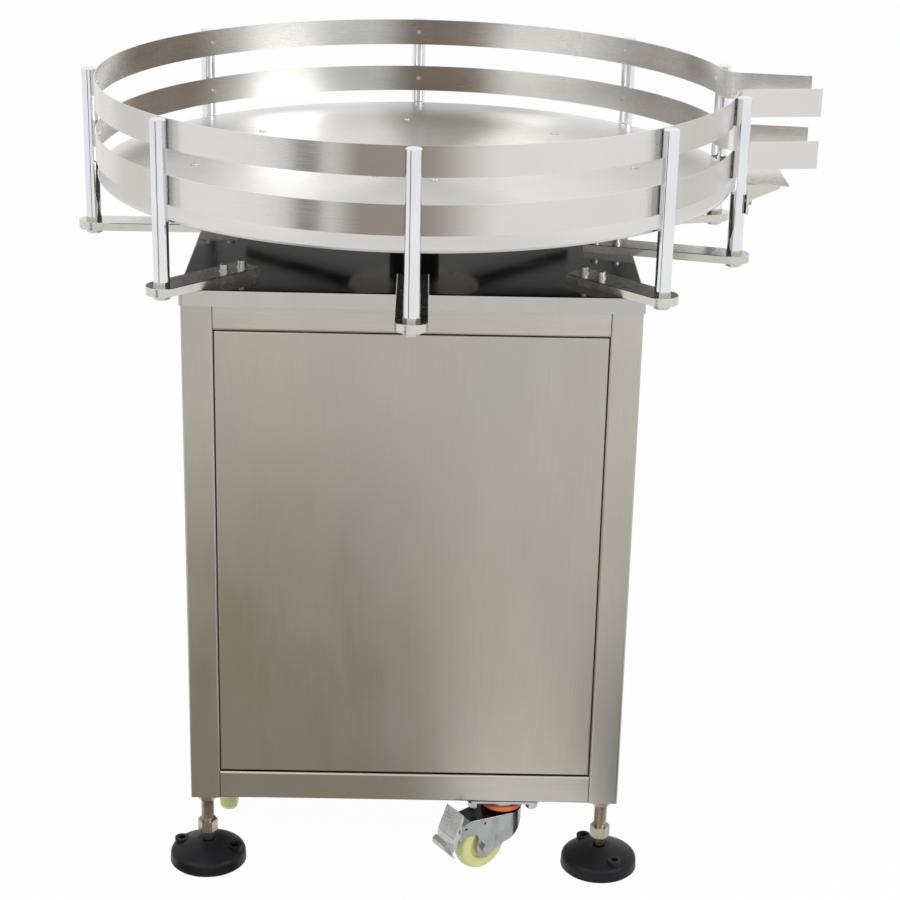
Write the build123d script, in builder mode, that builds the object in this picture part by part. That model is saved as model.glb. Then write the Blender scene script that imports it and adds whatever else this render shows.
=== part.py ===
"""Bottle unscrambler: a driven rotary table on a stainless cabinet.

A flat disc turns on a spindle above the cabinet. Two guide bands stand round it on nine chromed
posts, and swing out into an exit lane on the right, where a small plate hands the bottles over to a
conveyor. Four adjustable feet carry the cabinet, and four braked swivel casters hang just clear of
the floor for moving it.

The floor is at Z = 0, the front faces -Y and the bottles leave towards +X. The origin is on the
floor, under the middle of the whole machine, so the turntable's axis stands a little to its left.
"""

import os
from math import cos, hypot, radians, sin

from build123d import *

os.makedirs("parts", exist_ok=True)

# Running and seating clearances
running_fit = 0.05
thread_fit = 0.06
seat_gap = 0.02
hole_clearance = 0.2

# Turntable
disc_radius = 400.0
disc_thickness = 3.0
disc_lift = 87.0
disc_screw_radius = 280.0
disc_screw_count = 8
disc_screw_start = 3.0
hub_screw_radius = 75.0
hub_screw_count = 6
hub_screw_start = -71.0
spider_thickness = 8.0
spider_arm_width = 30.0
spider_margin = 20.0
hub_radius = 88.0
hub_thickness = 8.0

# Cabinet
foot_height = 100.0
cabinet_width = 545.0
cabinet_depth = 545.0
frame_height = 663.0
tube = 38.0
tube_wall = 1.5
tube_corner = 3.0
mounting_plate_thickness = 10.0
cover_thickness = 2.0
cover_lip = 20.0
floor_plate_thickness = 4.0

# Panels and the service door at the back
sheet = 1.2
panel_gap = 0.9
panel_sill_gap = 2.4
panel_recess = 0.8
panel_return = 18.0
panel_bend = 1.6
door_gap = 1.5

# Guide posts and arms
post_gap = 1.5
post_radius = 9.5
post_length = 190.0
post_chamfer = 1.2
post_nut_height = 5.0
post_nut_flats = 17.0
post_bolt_radius = 5.0
post_bolt_head = 6.4
arm_thickness = 10.0
arm_width = 38.0
corner_arm_inner = 278.0
long_arm_inner = 224.0
arm_screw_inset = 12.0
arm_screw_pitch = 27.0
exit_post_angle = 14.5

# Guide bands
band_height = 35.0
band_thickness = 1.5
band_to_post = 0.1
lower_band_lift = 17.0
upper_band_top_drop = 0.0
exit_bend_start = 10.5
exit_bend_radius = 25.0
exit_lane_toe_in = 8.0
exit_run = 92.0
band_screw_radius = 2.0
band_screw_head = 3.2
band_screw_head_height = 1.6
band_screw_bite = 8.0

# Transfer plate at the exit
transfer_gap = 3.0
transfer_run = 56.0
transfer_inner_half = 51.0
transfer_outer_half = 63.0
transfer_thickness = 2.0
bracket_thickness = 3.0
bracket_half_span = 52.0
bracket_run = 46.0
bracket_flange = 18.0
bracket_tab_height = 24.0

# Small screws of the deck
screw_radius = 3.0
screw_head_radius = 5.0
screw_head_height = 6.0
screw_socket_flats = 5.0
screw_socket_depth = 3.0
washer_radius = 6.4
washer_thickness = 1.6

# Spindle, its bearings and its housing
spindle_radius = 12.5
bearing_outer_radius = 26.0
bearing_width = 15.0
housing_column_radius = 32.0
housing_flange_radius = 60.0
housing_flange_thickness = 12.0
housing_screw_circle = 48.0
housing_top_gap = 5.0

# Gear motor
gearbox_width = 134.0
gearbox_depth = 96.0
gearbox_height = 100.0
gearbox_flange = 10.0
worm_offset = 50.0
worm_drop = 7.0
motor_radius = 48.0
motor_fin_radius = 54.0
motor_fin_count = 24
motor_length = 130.0
fan_cover_length = 50.0

# Levelling feet
foot_base_radius = 49.0
foot_rim_height = 12.0
foot_dome_top = 29.0
foot_anchor_circle = 36.0
foot_anchor_boss = 9.0
foot_anchor_hole = 4.5
foot_anchor_top = 25.5
foot_ball_radius = 8.0
foot_ball_height = 19.0
foot_neck_radius = 5.5
foot_hex_flats = 22.0
foot_hex_bottom = 43.0
foot_hex_height = 16.0
foot_stud_radius = 8.0
foot_stud_top = 136.0
foot_lock_nut_height = 11.0
foot_insert_height = 12.0
foot_travel = 20.0

# Casters
caster_inset_front = 29.5
caster_inset_side = 35.5
caster_along_front = 126.0
caster_along_side = 157.0
caster_plate_length = 92.0
caster_plate_width = 58.0
caster_plate_thickness = 3.0
caster_bolt_pitch_length = 74.0
caster_bolt_pitch_width = 44.0
caster_bolt_radius = 4.0
caster_bolt_flats = 13.0
caster_wheel_radius = 35.0
caster_wheel_width = 22.0
caster_floor_gap = 1.5
caster_trail = 35.2
caster_cup_radius = 24.0
caster_cup_depth = 13.0
kingpin_radius = 6.0
fork_sheet = 2.5
fork_half_width = 15.5
fork_top_drop = 20.0
fork_skirt_radius = 25.0
fork_tail = 58.0
axle_radius = 4.0
axle_boss_radius = 15.5
brake_pivot_reach = 75.0
brake_pivot_drop = 29.0
brake_pin_radius = 2.5
brake_sheet = 2.0
brake_lip_half = 22.0

# Controls on the left side panel, and the cable gland
controller_drop = 123.0
controller_along = 110.0
controller_width = 60.0
controller_length = 96.0
controller_depth = 55.0
bezel_thickness = 6.0
knob_radius = 14.0
knob_height = 15.0
gland_height = 190.0
gland_along = 150.0
gland_radius = 8.0
gland_bore = 4.25

# Levels and places that follow from the sizes above
post_circle = disc_radius + post_gap + post_radius
post_tip_reach = post_circle + arm_width / 2
exit_reach = post_circle + exit_run
transfer_reach = post_circle + transfer_run
bracket_reach = post_circle + bracket_run
spider_reach = disc_screw_radius + spider_margin
axis_x = (post_tip_reach - exit_reach) / 2
frame_top = foot_height + frame_height
plate_top = frame_top + mounting_plate_thickness
deck = plate_top + cover_thickness
arm_top = deck + arm_thickness
post_bottom = arm_top + post_nut_height
post_top = post_bottom + post_length
disc_height = deck + disc_lift
controller_height = frame_top - controller_drop
disc_under = disc_height - disc_thickness
spider_under = disc_under - spider_thickness
hub_under = spider_under - hub_thickness
housing_top = hub_under - housing_top_gap
post_pitch_x = cabinet_width - tube
post_pitch_y = cabinet_depth - tube
clear_width = cabinet_width - 2 * tube
clear_depth = cabinet_depth - 2 * tube
caster_offset_front = cabinet_depth / 2 - caster_inset_front
caster_offset_side = cabinet_width / 2 - caster_inset_side
band_outer = post_circle - post_radius - band_to_post
band_inner = band_outer - band_thickness
upper_band_top = post_top - upper_band_top_drop
upper_band_bottom = upper_band_top - band_height
lower_band_bottom = disc_height + lower_band_lift

radial_post_angles = [45.0, 90.0, 135.0, 180.0, 225.0, 270.0, 315.0]
exit_post_angles = [-exit_post_angle, exit_post_angle]
post_angles = radial_post_angles + exit_post_angles
corner_arm_angles = [45.0, 135.0, 225.0, 315.0]
long_arm_angles = [90.0, 180.0, 270.0] + exit_post_angles


def level(height):
    """Level plane at a height above the floor, centred on the turntable's axis."""
    return Plane((axis_x, 0, height))


def polar(radius, angle):
    """Point on a circle about the turntable's axis, in a level sketch."""
    return (radius * cos(radians(angle)), radius * sin(radians(angle)))


def radial_plane(radius, angle, height):
    """Upright plane that crosses a radius of the table and faces outwards."""
    x, y = polar(radius, angle)
    return Plane(
        origin=(axis_x + x, y, height),
        x_dir=(-sin(radians(angle)), cos(radians(angle)), 0),
        z_dir=(cos(radians(angle)), sin(radians(angle)), 0),
    )


# Casters' places: one near the middle of each side, each turned its own way

caster_places = [
    (caster_along_front, -caster_offset_front, 0.0, 214.0),
    (-caster_offset_side, -caster_along_side, 90.0, 90.0),
    (-caster_along_front, caster_offset_front, 0.0, 34.0),
    (caster_offset_side, caster_along_side, 90.0, 270.0),
]


def caster_bolt_locations():
    """Four bolt places of every caster plate, as locations in a level sketch."""
    places = []
    for x, y, plate_turn, _ in caster_places:
        corner = GridLocations(caster_bolt_pitch_length, caster_bolt_pitch_width, 2, 2)
        places += [Location((x, y, 0), (0, 0, plate_turn)) * hole for hole in corner.local_locations]
    return places


# Cabinet frame: four corner posts and eight rails of square tube



def tube_section():
    """Square tube profile, drawn in the sketch that is open."""
    RectangleRounded(tube, tube, tube_corner)
    bore = tube - 2 * tube_wall
    RectangleRounded(bore, bore, tube_corner - tube_wall, mode=Mode.SUBTRACT)


with BuildPart() as corner_posts:
    with BuildSketch(level(foot_height)):
        with GridLocations(post_pitch_x, post_pitch_y, 2, 2):
            tube_section()
    extrude(amount=frame_height)
corner_posts.part.label = "corner_posts"
export_step(corner_posts.part, "parts/corner_posts.step")

rail_heights = [foot_height + tube / 2, frame_top - tube / 2]
with BuildPart() as frame_rails:
    for rail_height in rail_heights:
        for side in (-1, 1):
            long_way = Plane(
                origin=(axis_x - clear_width / 2, side * post_pitch_y / 2, rail_height),
                x_dir=(0, 1, 0),
                z_dir=(1, 0, 0),
            )
            with BuildSketch(long_way):
                tube_section()
            extrude(amount=clear_width)
            cross_way = Plane(
                origin=(axis_x + side * post_pitch_x / 2, -clear_depth / 2, rail_height),
                x_dir=(1, 0, 0),
                z_dir=(0, 1, 0),
            )
            with BuildSketch(cross_way):
                tube_section()
            extrude(amount=clear_depth)
    with BuildSketch(level(foot_height)):
        with Locations(*caster_bolt_locations()):
            Circle(caster_bolt_radius + hole_clearance)
    extrude(amount=tube_wall, mode=Mode.SUBTRACT)
frame_rails.part.label = "frame_rails"
export_step(frame_rails.part, "parts/frame_rails.step")

# Floor plate between the bottom rails, which the casters' inner bolts pass through

floor_plate_fit = 0.5
with BuildPart() as floor_plate:
    with BuildSketch(level(foot_height)):
        plate_length = clear_width - 2 * floor_plate_fit
        plate_width = clear_depth - 2 * floor_plate_fit
        Rectangle(plate_length, plate_width)
        with Locations(*caster_bolt_locations()):
            Circle(caster_bolt_radius + hole_clearance, mode=Mode.SUBTRACT)
    extrude(amount=floor_plate_thickness)
floor_plate.part.label = "floor_plate"
export_step(floor_plate.part, "parts/floor_plate.step")

# Screws that hold the arms and the bearing housing down on the deck


def arm_screw_radii(inner):
    """Distances of an arm's two screws from the turntable's axis."""
    return [inner + arm_screw_inset, inner + arm_screw_inset + arm_screw_pitch]


arm_screw_points = [polar(r, a) for a in corner_arm_angles for r in arm_screw_radii(corner_arm_inner)]
arm_screw_points += [polar(r, a) for a in long_arm_angles for r in arm_screw_radii(long_arm_inner)]
housing_screw_points = [polar(housing_screw_circle, 45.0 + 90.0 * k) for k in range(4)]

# Mounting plate and the folded cover over it

with BuildPart() as mounting_plate:
    with BuildSketch(level(frame_top)):
        plate_fit = 0.5
        RectangleRounded(cabinet_width - 2 * plate_fit, cabinet_depth - 2 * plate_fit, tube_corner)
        Circle(spindle_radius + 8.0, mode=Mode.SUBTRACT)
        with Locations(*arm_screw_points, *housing_screw_points):
            Circle(screw_radius + thread_fit, mode=Mode.SUBTRACT)
    extrude(amount=mounting_plate_thickness)
mounting_plate.part.label = "mounting_plate"
export_step(mounting_plate.part, "parts/mounting_plate.step")

with BuildPart() as top_cover:
    with BuildSketch(level(deck - cover_lip)):
        cover_outer = tube_corner + cover_thickness
        RectangleRounded(cabinet_width + 2 * cover_thickness, cabinet_depth + 2 * cover_thickness, cover_outer)
    extrude(amount=cover_lip)
    fillet(top_cover.faces().sort_by(Axis.Z)[-1].edges(), cover_thickness)
    with BuildSketch(level(deck - cover_lip)):
        RectangleRounded(cabinet_width, cabinet_depth, tube_corner)
    extrude(amount=cover_lip - cover_thickness, mode=Mode.SUBTRACT)
    with BuildSketch(level(plate_top)):
        Circle(housing_flange_radius + 1.0)
        with Locations(*arm_screw_points):
            Circle(screw_radius + hole_clearance)
    extrude(amount=cover_thickness, mode=Mode.SUBTRACT)
top_cover.part.label = "top_cover"
export_step(top_cover.part, "parts/top_cover.step")

# Folded sheet panels: front, left and right, and the door at the back

panel_bottom = foot_height + tube + panel_sill_gap
panel_top = frame_top - tube - panel_gap
panel_height = panel_top - panel_bottom
panel_middle = (panel_top + panel_bottom) / 2


def folded_panel(plane, width, height):
    """Flat panel with its four edges folded back, its outer face on a plane that looks outwards."""
    with BuildPart() as panel:
        with BuildSketch(plane):
            Rectangle(width, height)
        extrude(amount=-panel_return)
        outer_face = panel.faces().sort_by(Axis(plane.origin, plane.z_dir))[-1]
        fillet(outer_face.edges(), panel_bend)
        with BuildSketch(plane.offset(-panel_return)):
            Rectangle(width - 2 * sheet, height - 2 * sheet)
        extrude(amount=panel_return - sheet, mode=Mode.SUBTRACT)
    return panel


front_face = Plane(
    origin=(axis_x, -cabinet_depth / 2 + panel_recess, panel_middle), x_dir=(1, 0, 0), z_dir=(0, -1, 0)
)
left_face = Plane(
    origin=(axis_x - cabinet_width / 2 + panel_recess, 0, panel_middle), x_dir=(0, -1, 0), z_dir=(-1, 0, 0)
)
right_face = Plane(
    origin=(axis_x + cabinet_width / 2 - panel_recess, 0, panel_middle), x_dir=(0, 1, 0), z_dir=(1, 0, 0)
)
back_face = Plane(
    origin=(axis_x, cabinet_depth / 2 - panel_recess, panel_middle), x_dir=(-1, 0, 0), z_dir=(0, 1, 0)
)

front_panel = folded_panel(front_face, clear_width - 2 * panel_gap, panel_height)
front_panel.part.label = "front_panel"
export_step(front_panel.part, "parts/front_panel.step")

right_panel = folded_panel(right_face, clear_depth - 2 * panel_gap, panel_height)
right_panel.part.label = "right_panel"
export_step(right_panel.part, "parts/right_panel.step")

controller_face = left_face.offset(0)
controller_face.origin = Vector(left_face.origin.X, controller_along, controller_height)
gland_face = left_face.offset(0)
gland_face.origin = Vector(left_face.origin.X, gland_along, gland_height)

left_blank = folded_panel(left_face, clear_depth - 2 * panel_gap, panel_height)
with BuildPart() as left_panel:
    add(left_blank.part)
    with BuildSketch(controller_face):
        Rectangle(controller_width - 12.0, controller_length - 12.0)
    extrude(amount=-2 * sheet, mode=Mode.SUBTRACT)
    with BuildSketch(gland_face):
        Circle(gland_radius + hole_clearance)
    extrude(amount=-2 * sheet, mode=Mode.SUBTRACT)
left_panel.part.label = "left_panel"
export_step(left_panel.part, "parts/left_panel.step")

# Service door: a folded panel on two butt hinges, with a quarter-turn lock

lock_x = -(clear_width / 2 - 17.0)
lock_height = panel_middle
lock_head_radius = 9.0
lock_head_height = 3.0
lock_shaft_radius = 6.0
lock_cam_width = 14.0
lock_cam_reach = 30.0
lock_cam_thickness = 2.5
lock_cam_clearance = 1.0
back_surface = cabinet_depth / 2 - panel_recess
lock_plane = Plane(origin=(axis_x + lock_x, back_surface, lock_height), x_dir=(-1, 0, 0), z_dir=(0, 1, 0))

door_blank = folded_panel(back_face, clear_width - 2 * door_gap, panel_height)
with BuildPart() as rear_door:
    add(door_blank.part)
    with BuildSketch(lock_plane):
        Circle(lock_shaft_radius + running_fit)
    extrude(amount=-2 * sheet, mode=Mode.SUBTRACT)
rear_door.part.label = "rear_door"
export_step(rear_door.part, "parts/rear_door.step")

lock_shaft_length = back_surface - (cabinet_depth / 2 - tube) + lock_cam_clearance + lock_cam_thickness
with BuildPart() as door_lock:
    with BuildSketch(lock_plane.offset(seat_gap)):
        Circle(lock_head_radius)
    extrude(amount=lock_head_height)
    fillet(door_lock.faces().sort_by(Axis.Y)[-1].edges(), 0.8)
    with BuildSketch(lock_plane.offset(lock_head_height)):
        SlotOverall(11.0, 2.4)
    extrude(amount=-1.5, mode=Mode.SUBTRACT)
    with BuildSketch(lock_plane.offset(seat_gap)):
        Circle(lock_shaft_radius)
    extrude(amount=-lock_shaft_length)
    with BuildSketch(lock_plane.offset(seat_gap - lock_shaft_length)):
        with Locations((0, -(lock_cam_reach - lock_cam_width) / 2)):
            SlotOverall(lock_cam_reach, lock_cam_width, rotation=90)
    extrude(amount=lock_cam_thickness)
door_lock.part.label = "door_lock"
export_step(door_lock.part, "parts/door_lock.step")

hinge_x = clear_width / 2
hinge_y = cabinet_depth / 2 + 5.0
hinge_barrel_radius = 4.5
hinge_pin_radius = 2.5
hinge_length = 64.0
hinge_knuckle = 20.0
hinge_leaf_start = 5.2
hinge_leaf_width = 28.0
hinge_leaf_thickness = 2.0
hinge_gap = 0.4
hinge_heights = [panel_bottom + 90.0, panel_top - 90.0]


def hinge_level(height):
    """Level plane at a height, centred on the door hinge's axis."""
    return Plane((axis_x + hinge_x, hinge_y, height))


def hinge_leaf(side, surface):
    """Leaf plate that lies on a surface at one side of the hinge axis, as a sketch rectangle."""
    leaf_y = surface - hinge_y + hinge_leaf_thickness / 2
    with Locations((side * (hinge_leaf_start + hinge_leaf_width / 2), leaf_y)):
        Rectangle(hinge_leaf_width, hinge_leaf_thickness)


def hinge_knuckle_section(side, surface):
    """Barrel and the short web that joins it to its leaf."""
    Circle(hinge_barrel_radius)
    leaf_y = surface - hinge_y + hinge_leaf_thickness / 2
    with Locations((side * hinge_leaf_start / 2, leaf_y)):
        Rectangle(hinge_leaf_start, hinge_leaf_thickness)


with BuildPart() as door_hinge_leaves:
    for middle in hinge_heights:
        low = middle - hinge_length / 2
        with BuildSketch(hinge_level(low)):
            hinge_leaf(1, cabinet_depth / 2)
        extrude(amount=hinge_length)
        for start in (low, low + hinge_length - hinge_knuckle):
            with BuildSketch(hinge_level(start)):
                hinge_knuckle_section(1, cabinet_depth / 2)
            extrude(amount=hinge_knuckle)
        with BuildSketch(hinge_level(low)):
            Circle(hinge_pin_radius)
        extrude(amount=hinge_length)
door_hinge_leaves.part.label = "door_hinge_leaves"
export_step(door_hinge_leaves.part, "parts/door_hinge_leaves.step")

with BuildPart() as door_hinge_flaps:
    for middle in hinge_heights:
        low = middle - hinge_length / 2
        with BuildSketch(hinge_level(low)):
            hinge_leaf(-1, back_surface)
        extrude(amount=hinge_length)
        with BuildSketch(hinge_level(low + hinge_knuckle + hinge_gap)):
            hinge_knuckle_section(-1, back_surface)
        extrude(amount=hinge_length - 2 * hinge_knuckle - 2 * hinge_gap)
        with BuildSketch(hinge_level(low)):
            Circle(hinge_pin_radius + running_fit)
        extrude(amount=hinge_length, mode=Mode.SUBTRACT)
door_hinge_flaps.part.label = "door_hinge_flaps"
export_step(door_hinge_flaps.part, "parts/door_hinge_flaps.step")

# Turntable: disc, the spider that stiffens it, the spindle and the screws through them

disc_screw_points = [
    polar(disc_screw_radius, disc_screw_start + 360.0 / disc_screw_count * k) for k in range(disc_screw_count)
]
hub_screw_points = [
    polar(hub_screw_radius, hub_screw_start + 360.0 / hub_screw_count * k) for k in range(hub_screw_count)
]

with BuildPart() as turntable_disc:
    with BuildSketch(level(disc_under)):
        Circle(disc_radius)
        with Locations(*disc_screw_points, *hub_screw_points):
            Circle(screw_radius + thread_fit, mode=Mode.SUBTRACT)
    extrude(amount=disc_thickness)
    chamfer(turntable_disc.edges().filter_by(lambda e: e.length > 6 * disc_radius), 0.5)
turntable_disc.part.label = "turntable_disc"
export_step(turntable_disc.part, "parts/turntable_disc.step")

with BuildPart() as disc_spider:
    with BuildSketch(level(spider_under)):
        Circle(hub_radius)
        with PolarLocations(spider_reach / 2, disc_screw_count, start_angle=disc_screw_start):
            Rectangle(spider_reach, spider_arm_width)
        with Locations(*disc_screw_points, *hub_screw_points):
            Circle(screw_radius + thread_fit, mode=Mode.SUBTRACT)
    extrude(amount=spider_thickness)
disc_spider.part.label = "disc_spider"
export_step(disc_spider.part, "parts/disc_spider.step")

table_screw_head = 5.0
table_screw_dome = 1.8
with BuildPart() as disc_screws:
    with BuildSketch(level(disc_height + seat_gap)):
        with Locations(*disc_screw_points, *hub_screw_points):
            Circle(table_screw_head)
    extrude(amount=table_screw_dome)
    fillet(disc_screws.edges().group_by(Axis.Z)[-1], table_screw_dome * 0.7)
    with BuildSketch(level(disc_height + seat_gap)):
        with Locations(*disc_screw_points, *hub_screw_points):
            Circle(screw_radius)
    extrude(amount=-(disc_thickness + spider_thickness))
disc_screws.part.label = "disc_screws"
export_step(disc_screws.part, "parts/disc_screws.step")

gearbox_bottom = frame_top - gearbox_flange - gearbox_height
spindle_collar_radius = 18.0
with BuildPart() as spindle:
    with BuildSketch(level(hub_under)):
        Circle(hub_radius - 4.0)
        with Locations(*hub_screw_points):
            Circle(screw_radius + thread_fit, mode=Mode.SUBTRACT)
    extrude(amount=hub_thickness)
    with BuildSketch(level(hub_under)):
        Circle(spindle_collar_radius)
    extrude(amount=-(housing_top_gap - 1.0))
    with BuildSketch(level(hub_under)):
        Circle(spindle_radius)
    extrude(amount=-(hub_under - gearbox_bottom))
    chamfer(spindle.edges().group_by(Axis.Z)[0], 1.0)
spindle.part.label = "spindle"
export_step(spindle.part, "parts/spindle.step")

# Bearing housing that stands on the mounting plate, with its two ball bearings

bearing_floor = 3.0
lower_bearing = plate_top + bearing_floor
upper_bearing = housing_top - bearing_floor - bearing_width
housing_waist = bearing_outer_radius - 5.0
with BuildPart() as bearing_housing:
    with BuildSketch(level(plate_top)):
        Circle(housing_flange_radius)
        with Locations(*housing_screw_points):
            Circle(screw_radius + hole_clearance, mode=Mode.SUBTRACT)
    extrude(amount=housing_flange_thickness)
    with BuildSketch(level(plate_top + housing_flange_thickness)):
        Circle(housing_column_radius)
    extrude(amount=housing_top - plate_top - housing_flange_thickness)
    foot_edges = bearing_housing.edges().filter_by(GeomType.CIRCLE).group_by(Axis.Z)[-2]
    fillet(foot_edges.filter_by(lambda e: abs(e.radius - housing_column_radius) < 0.1), 5.0)
    chamfer(bearing_housing.edges().group_by(Axis.Z)[-1], 1.5)
    with BuildSketch(level(plate_top)):
        Circle(spindle_radius + 4.0)
    extrude(amount=housing_top - plate_top, mode=Mode.SUBTRACT)
    with BuildSketch(level(lower_bearing)):
        Circle(bearing_outer_radius)
    extrude(amount=-bearing_floor, mode=Mode.SUBTRACT)
    for seat in (lower_bearing, upper_bearing):
        with BuildSketch(level(seat)):
            Circle(bearing_outer_radius)
        extrude(amount=bearing_width, mode=Mode.SUBTRACT)
    with BuildSketch(level(lower_bearing + bearing_width)):
        Circle(housing_waist)
    extrude(amount=upper_bearing - lower_bearing - bearing_width, mode=Mode.SUBTRACT)
    with BuildSketch(level(upper_bearing + bearing_width)):
        Circle(bearing_outer_radius)
    extrude(amount=bearing_floor, mode=Mode.SUBTRACT)
bearing_housing.part.label = "bearing_housing"
export_step(bearing_housing.part, "parts/bearing_housing.step")

with BuildPart() as spindle_bearings:
    for seat in (lower_bearing, upper_bearing):
        with BuildSketch(level(seat)):
            Circle(bearing_outer_radius - seat_gap)
            Circle(spindle_radius + running_fit, mode=Mode.SUBTRACT)
        extrude(amount=bearing_width)
        for face_height, depth in ((seat, 1.2), (seat + bearing_width, -1.2)):
            with BuildSketch(level(face_height)):
                Circle(bearing_outer_radius - 4.0)
                Circle(spindle_radius + 3.5, mode=Mode.SUBTRACT)
            extrude(amount=depth, mode=Mode.SUBTRACT)
spindle_bearings.part.label = "spindle_bearings"
export_step(spindle_bearings.part, "parts/spindle_bearings.step")

# Worm gearbox under the mounting plate, and the motor that drives it

worm_height = gearbox_bottom + gearbox_height / 2 - worm_drop
body_shift = worm_offset - gearbox_width / 2 + motor_radius - 14.0
with BuildPart() as gearbox:
    with BuildSketch(level(frame_top - gearbox_flange)):
        with Locations((body_shift, 0)):
            RectangleRounded(gearbox_width + 20.0, gearbox_depth + 34.0, 12.0)
    extrude(amount=gearbox_flange)
    with BuildSketch(level(gearbox_bottom)):
        with Locations((body_shift, 0)):
            RectangleRounded(gearbox_width, gearbox_depth, 18.0)
    extrude(amount=gearbox_height)
    with BuildSketch(level(gearbox_bottom)):
        Circle(40.0)
    extrude(amount=-6.0)
    worm_face = Plane(
        origin=(axis_x + worm_offset, gearbox_depth / 2, worm_height), x_dir=(-1, 0, 0), z_dir=(0, 1, 0)
    )
    with BuildSketch(worm_face):
        Circle(motor_radius + 4.0)
    extrude(amount=8.0)
    with BuildSketch(worm_face.offset(-gearbox_depth)):
        Circle(26.0)
    extrude(amount=-5.0)
    with BuildSketch(level(frame_top)):
        Circle(spindle_radius + running_fit)
    extrude(amount=-(gearbox_flange + gearbox_height + 6.0), mode=Mode.SUBTRACT)
gearbox.part.label = "gearbox"
export_step(gearbox.part, "parts/gearbox.step")

motor_start = worm_face.offset(8.0)
motor_flange = 10.0
motor_fin_start = motor_flange + 6.0
motor_fin_end = motor_length - 10.0
with BuildPart() as motor:
    with BuildSketch(motor_start):
        Circle(motor_radius + 4.0)
    extrude(amount=motor_flange)
    with BuildSketch(motor_start.offset(motor_flange)):
        Circle(motor_radius)
    extrude(amount=motor_length - motor_flange)
    with BuildSketch(motor_start.offset(motor_fin_start)):
        fin_height = motor_fin_radius - motor_radius + 2.0
        with PolarLocations(motor_radius - 2.0 + fin_height / 2, motor_fin_count):
            Rectangle(fin_height, 3.0)
    extrude(amount=motor_fin_end - motor_fin_start)
    terminal_side = Plane(
        origin=(axis_x + worm_offset + motor_radius - 4.0, gearbox_depth / 2 + 60.0, worm_height),
        x_dir=(0, 1, 0),
        z_dir=(1, 0, 0),
    )
    with BuildSketch(terminal_side):
        RectangleRounded(64.0, 50.0, 4.0)
    extrude(amount=32.0)
motor.part.label = "motor"
export_step(motor.part, "parts/motor.step")

fan_cover_corner = 8.0
with BuildPart() as motor_fan_cover:
    with BuildSketch(motor_start.offset(motor_fin_end)):
        Circle(motor_fin_radius)
    extrude(amount=fan_cover_length)
    fillet(motor_fan_cover.faces().sort_by(Axis.Y)[-1].edges(), fan_cover_corner)
    with BuildSketch(motor_start.offset(motor_fin_end)):
        Circle(motor_fin_radius - 2 * sheet)
    extrude(amount=fan_cover_length - fan_cover_corner, mode=Mode.SUBTRACT)
    with BuildSketch(motor_start.offset(motor_fin_end + fan_cover_length - fan_cover_corner)):
        Circle(motor_fin_radius - fan_cover_corner)
    extrude(amount=fan_cover_corner - sheet, mode=Mode.SUBTRACT)
    with BuildSketch(motor_start.offset(motor_fin_end + fan_cover_length)):
        with PolarLocations(26.0, 12):
            SlotOverall(24.0, 5.0)
    extrude(amount=-12.0, mode=Mode.SUBTRACT)
motor_fan_cover.part.label = "motor_fan_cover"
export_step(motor_fan_cover.part, "parts/motor_fan_cover.step")

# Guide arms on the deck: short ones at the corners, long ones between them and at the exit


def arm_outline(inner, angle):
    """Flat bar with a half-round tip round its post, drawn in the level sketch that is open."""
    bar_length = post_circle - inner
    with PolarLocations(inner + bar_length / 2, 1, start_angle=angle):
        Rectangle(bar_length, arm_width)
    with PolarLocations(post_circle, 1, start_angle=angle):
        Circle(arm_width / 2)


with BuildPart() as guide_arms:
    with BuildSketch(level(deck)):
        for arm_angle in corner_arm_angles:
            arm_outline(corner_arm_inner, arm_angle)
        for arm_angle in long_arm_angles:
            arm_outline(long_arm_inner, arm_angle)
        with Locations(*arm_screw_points):
            Circle(screw_radius + hole_clearance, mode=Mode.SUBTRACT)
        with Locations(*[polar(post_circle, a) for a in post_angles]):
            Circle(post_bolt_radius + hole_clearance, mode=Mode.SUBTRACT)
    extrude(amount=arm_thickness)
    chamfer([face.outer_wire().edges() for face in guide_arms.faces().group_by(Axis.Z)[-1]], 0.6)
guide_arms.part.label = "guide_arms"
export_step(guide_arms.part, "parts/guide_arms.step")


def socket_screws(points, seat, length):
    """Socket head screws that stand on a level seat."""
    with BuildPart() as screws:
        with BuildSketch(level(seat)):
            with Locations(*points):
                Circle(screw_head_radius)
        extrude(amount=screw_head_height)
        with BuildSketch(level(seat + screw_head_height)):
            with Locations(*points):
                RegularPolygon(screw_socket_flats / 2, 6, major_radius=False)
        extrude(amount=-screw_socket_depth, mode=Mode.SUBTRACT)
        with BuildSketch(level(seat)):
            with Locations(*points):
                Circle(screw_radius)
        extrude(amount=-length)
    return screws


arm_screw_seat = arm_top + washer_thickness + 2 * seat_gap
housing_screw_seat = plate_top + housing_flange_thickness + seat_gap
arm_screws = socket_screws(arm_screw_points, arm_screw_seat, arm_screw_seat - frame_top)
housing_screws = socket_screws(housing_screw_points, housing_screw_seat, housing_screw_seat - frame_top)
with BuildPart() as deck_screws:
    add(arm_screws.part)
    add(housing_screws.part)
    with BuildSketch(level(arm_top + seat_gap)):
        with Locations(*arm_screw_points):
            Circle(washer_radius)
            Circle(screw_radius + hole_clearance, mode=Mode.SUBTRACT)
    extrude(amount=washer_thickness)
deck_screws.part.label = "deck_screws"
export_step(deck_screws.part, "parts/deck_screws.step")

# Guide posts, each on a thin nut above its arm and held by a bolt from below

post_points = [polar(post_circle, a) for a in post_angles]
band_middles = [lower_band_bottom + band_height / 2, upper_band_bottom + band_height / 2]
bracket_bolt_height = disc_height - 10.0
bracket_bolt_reach = 10.0
post_bolt_depth = 22.0


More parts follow.
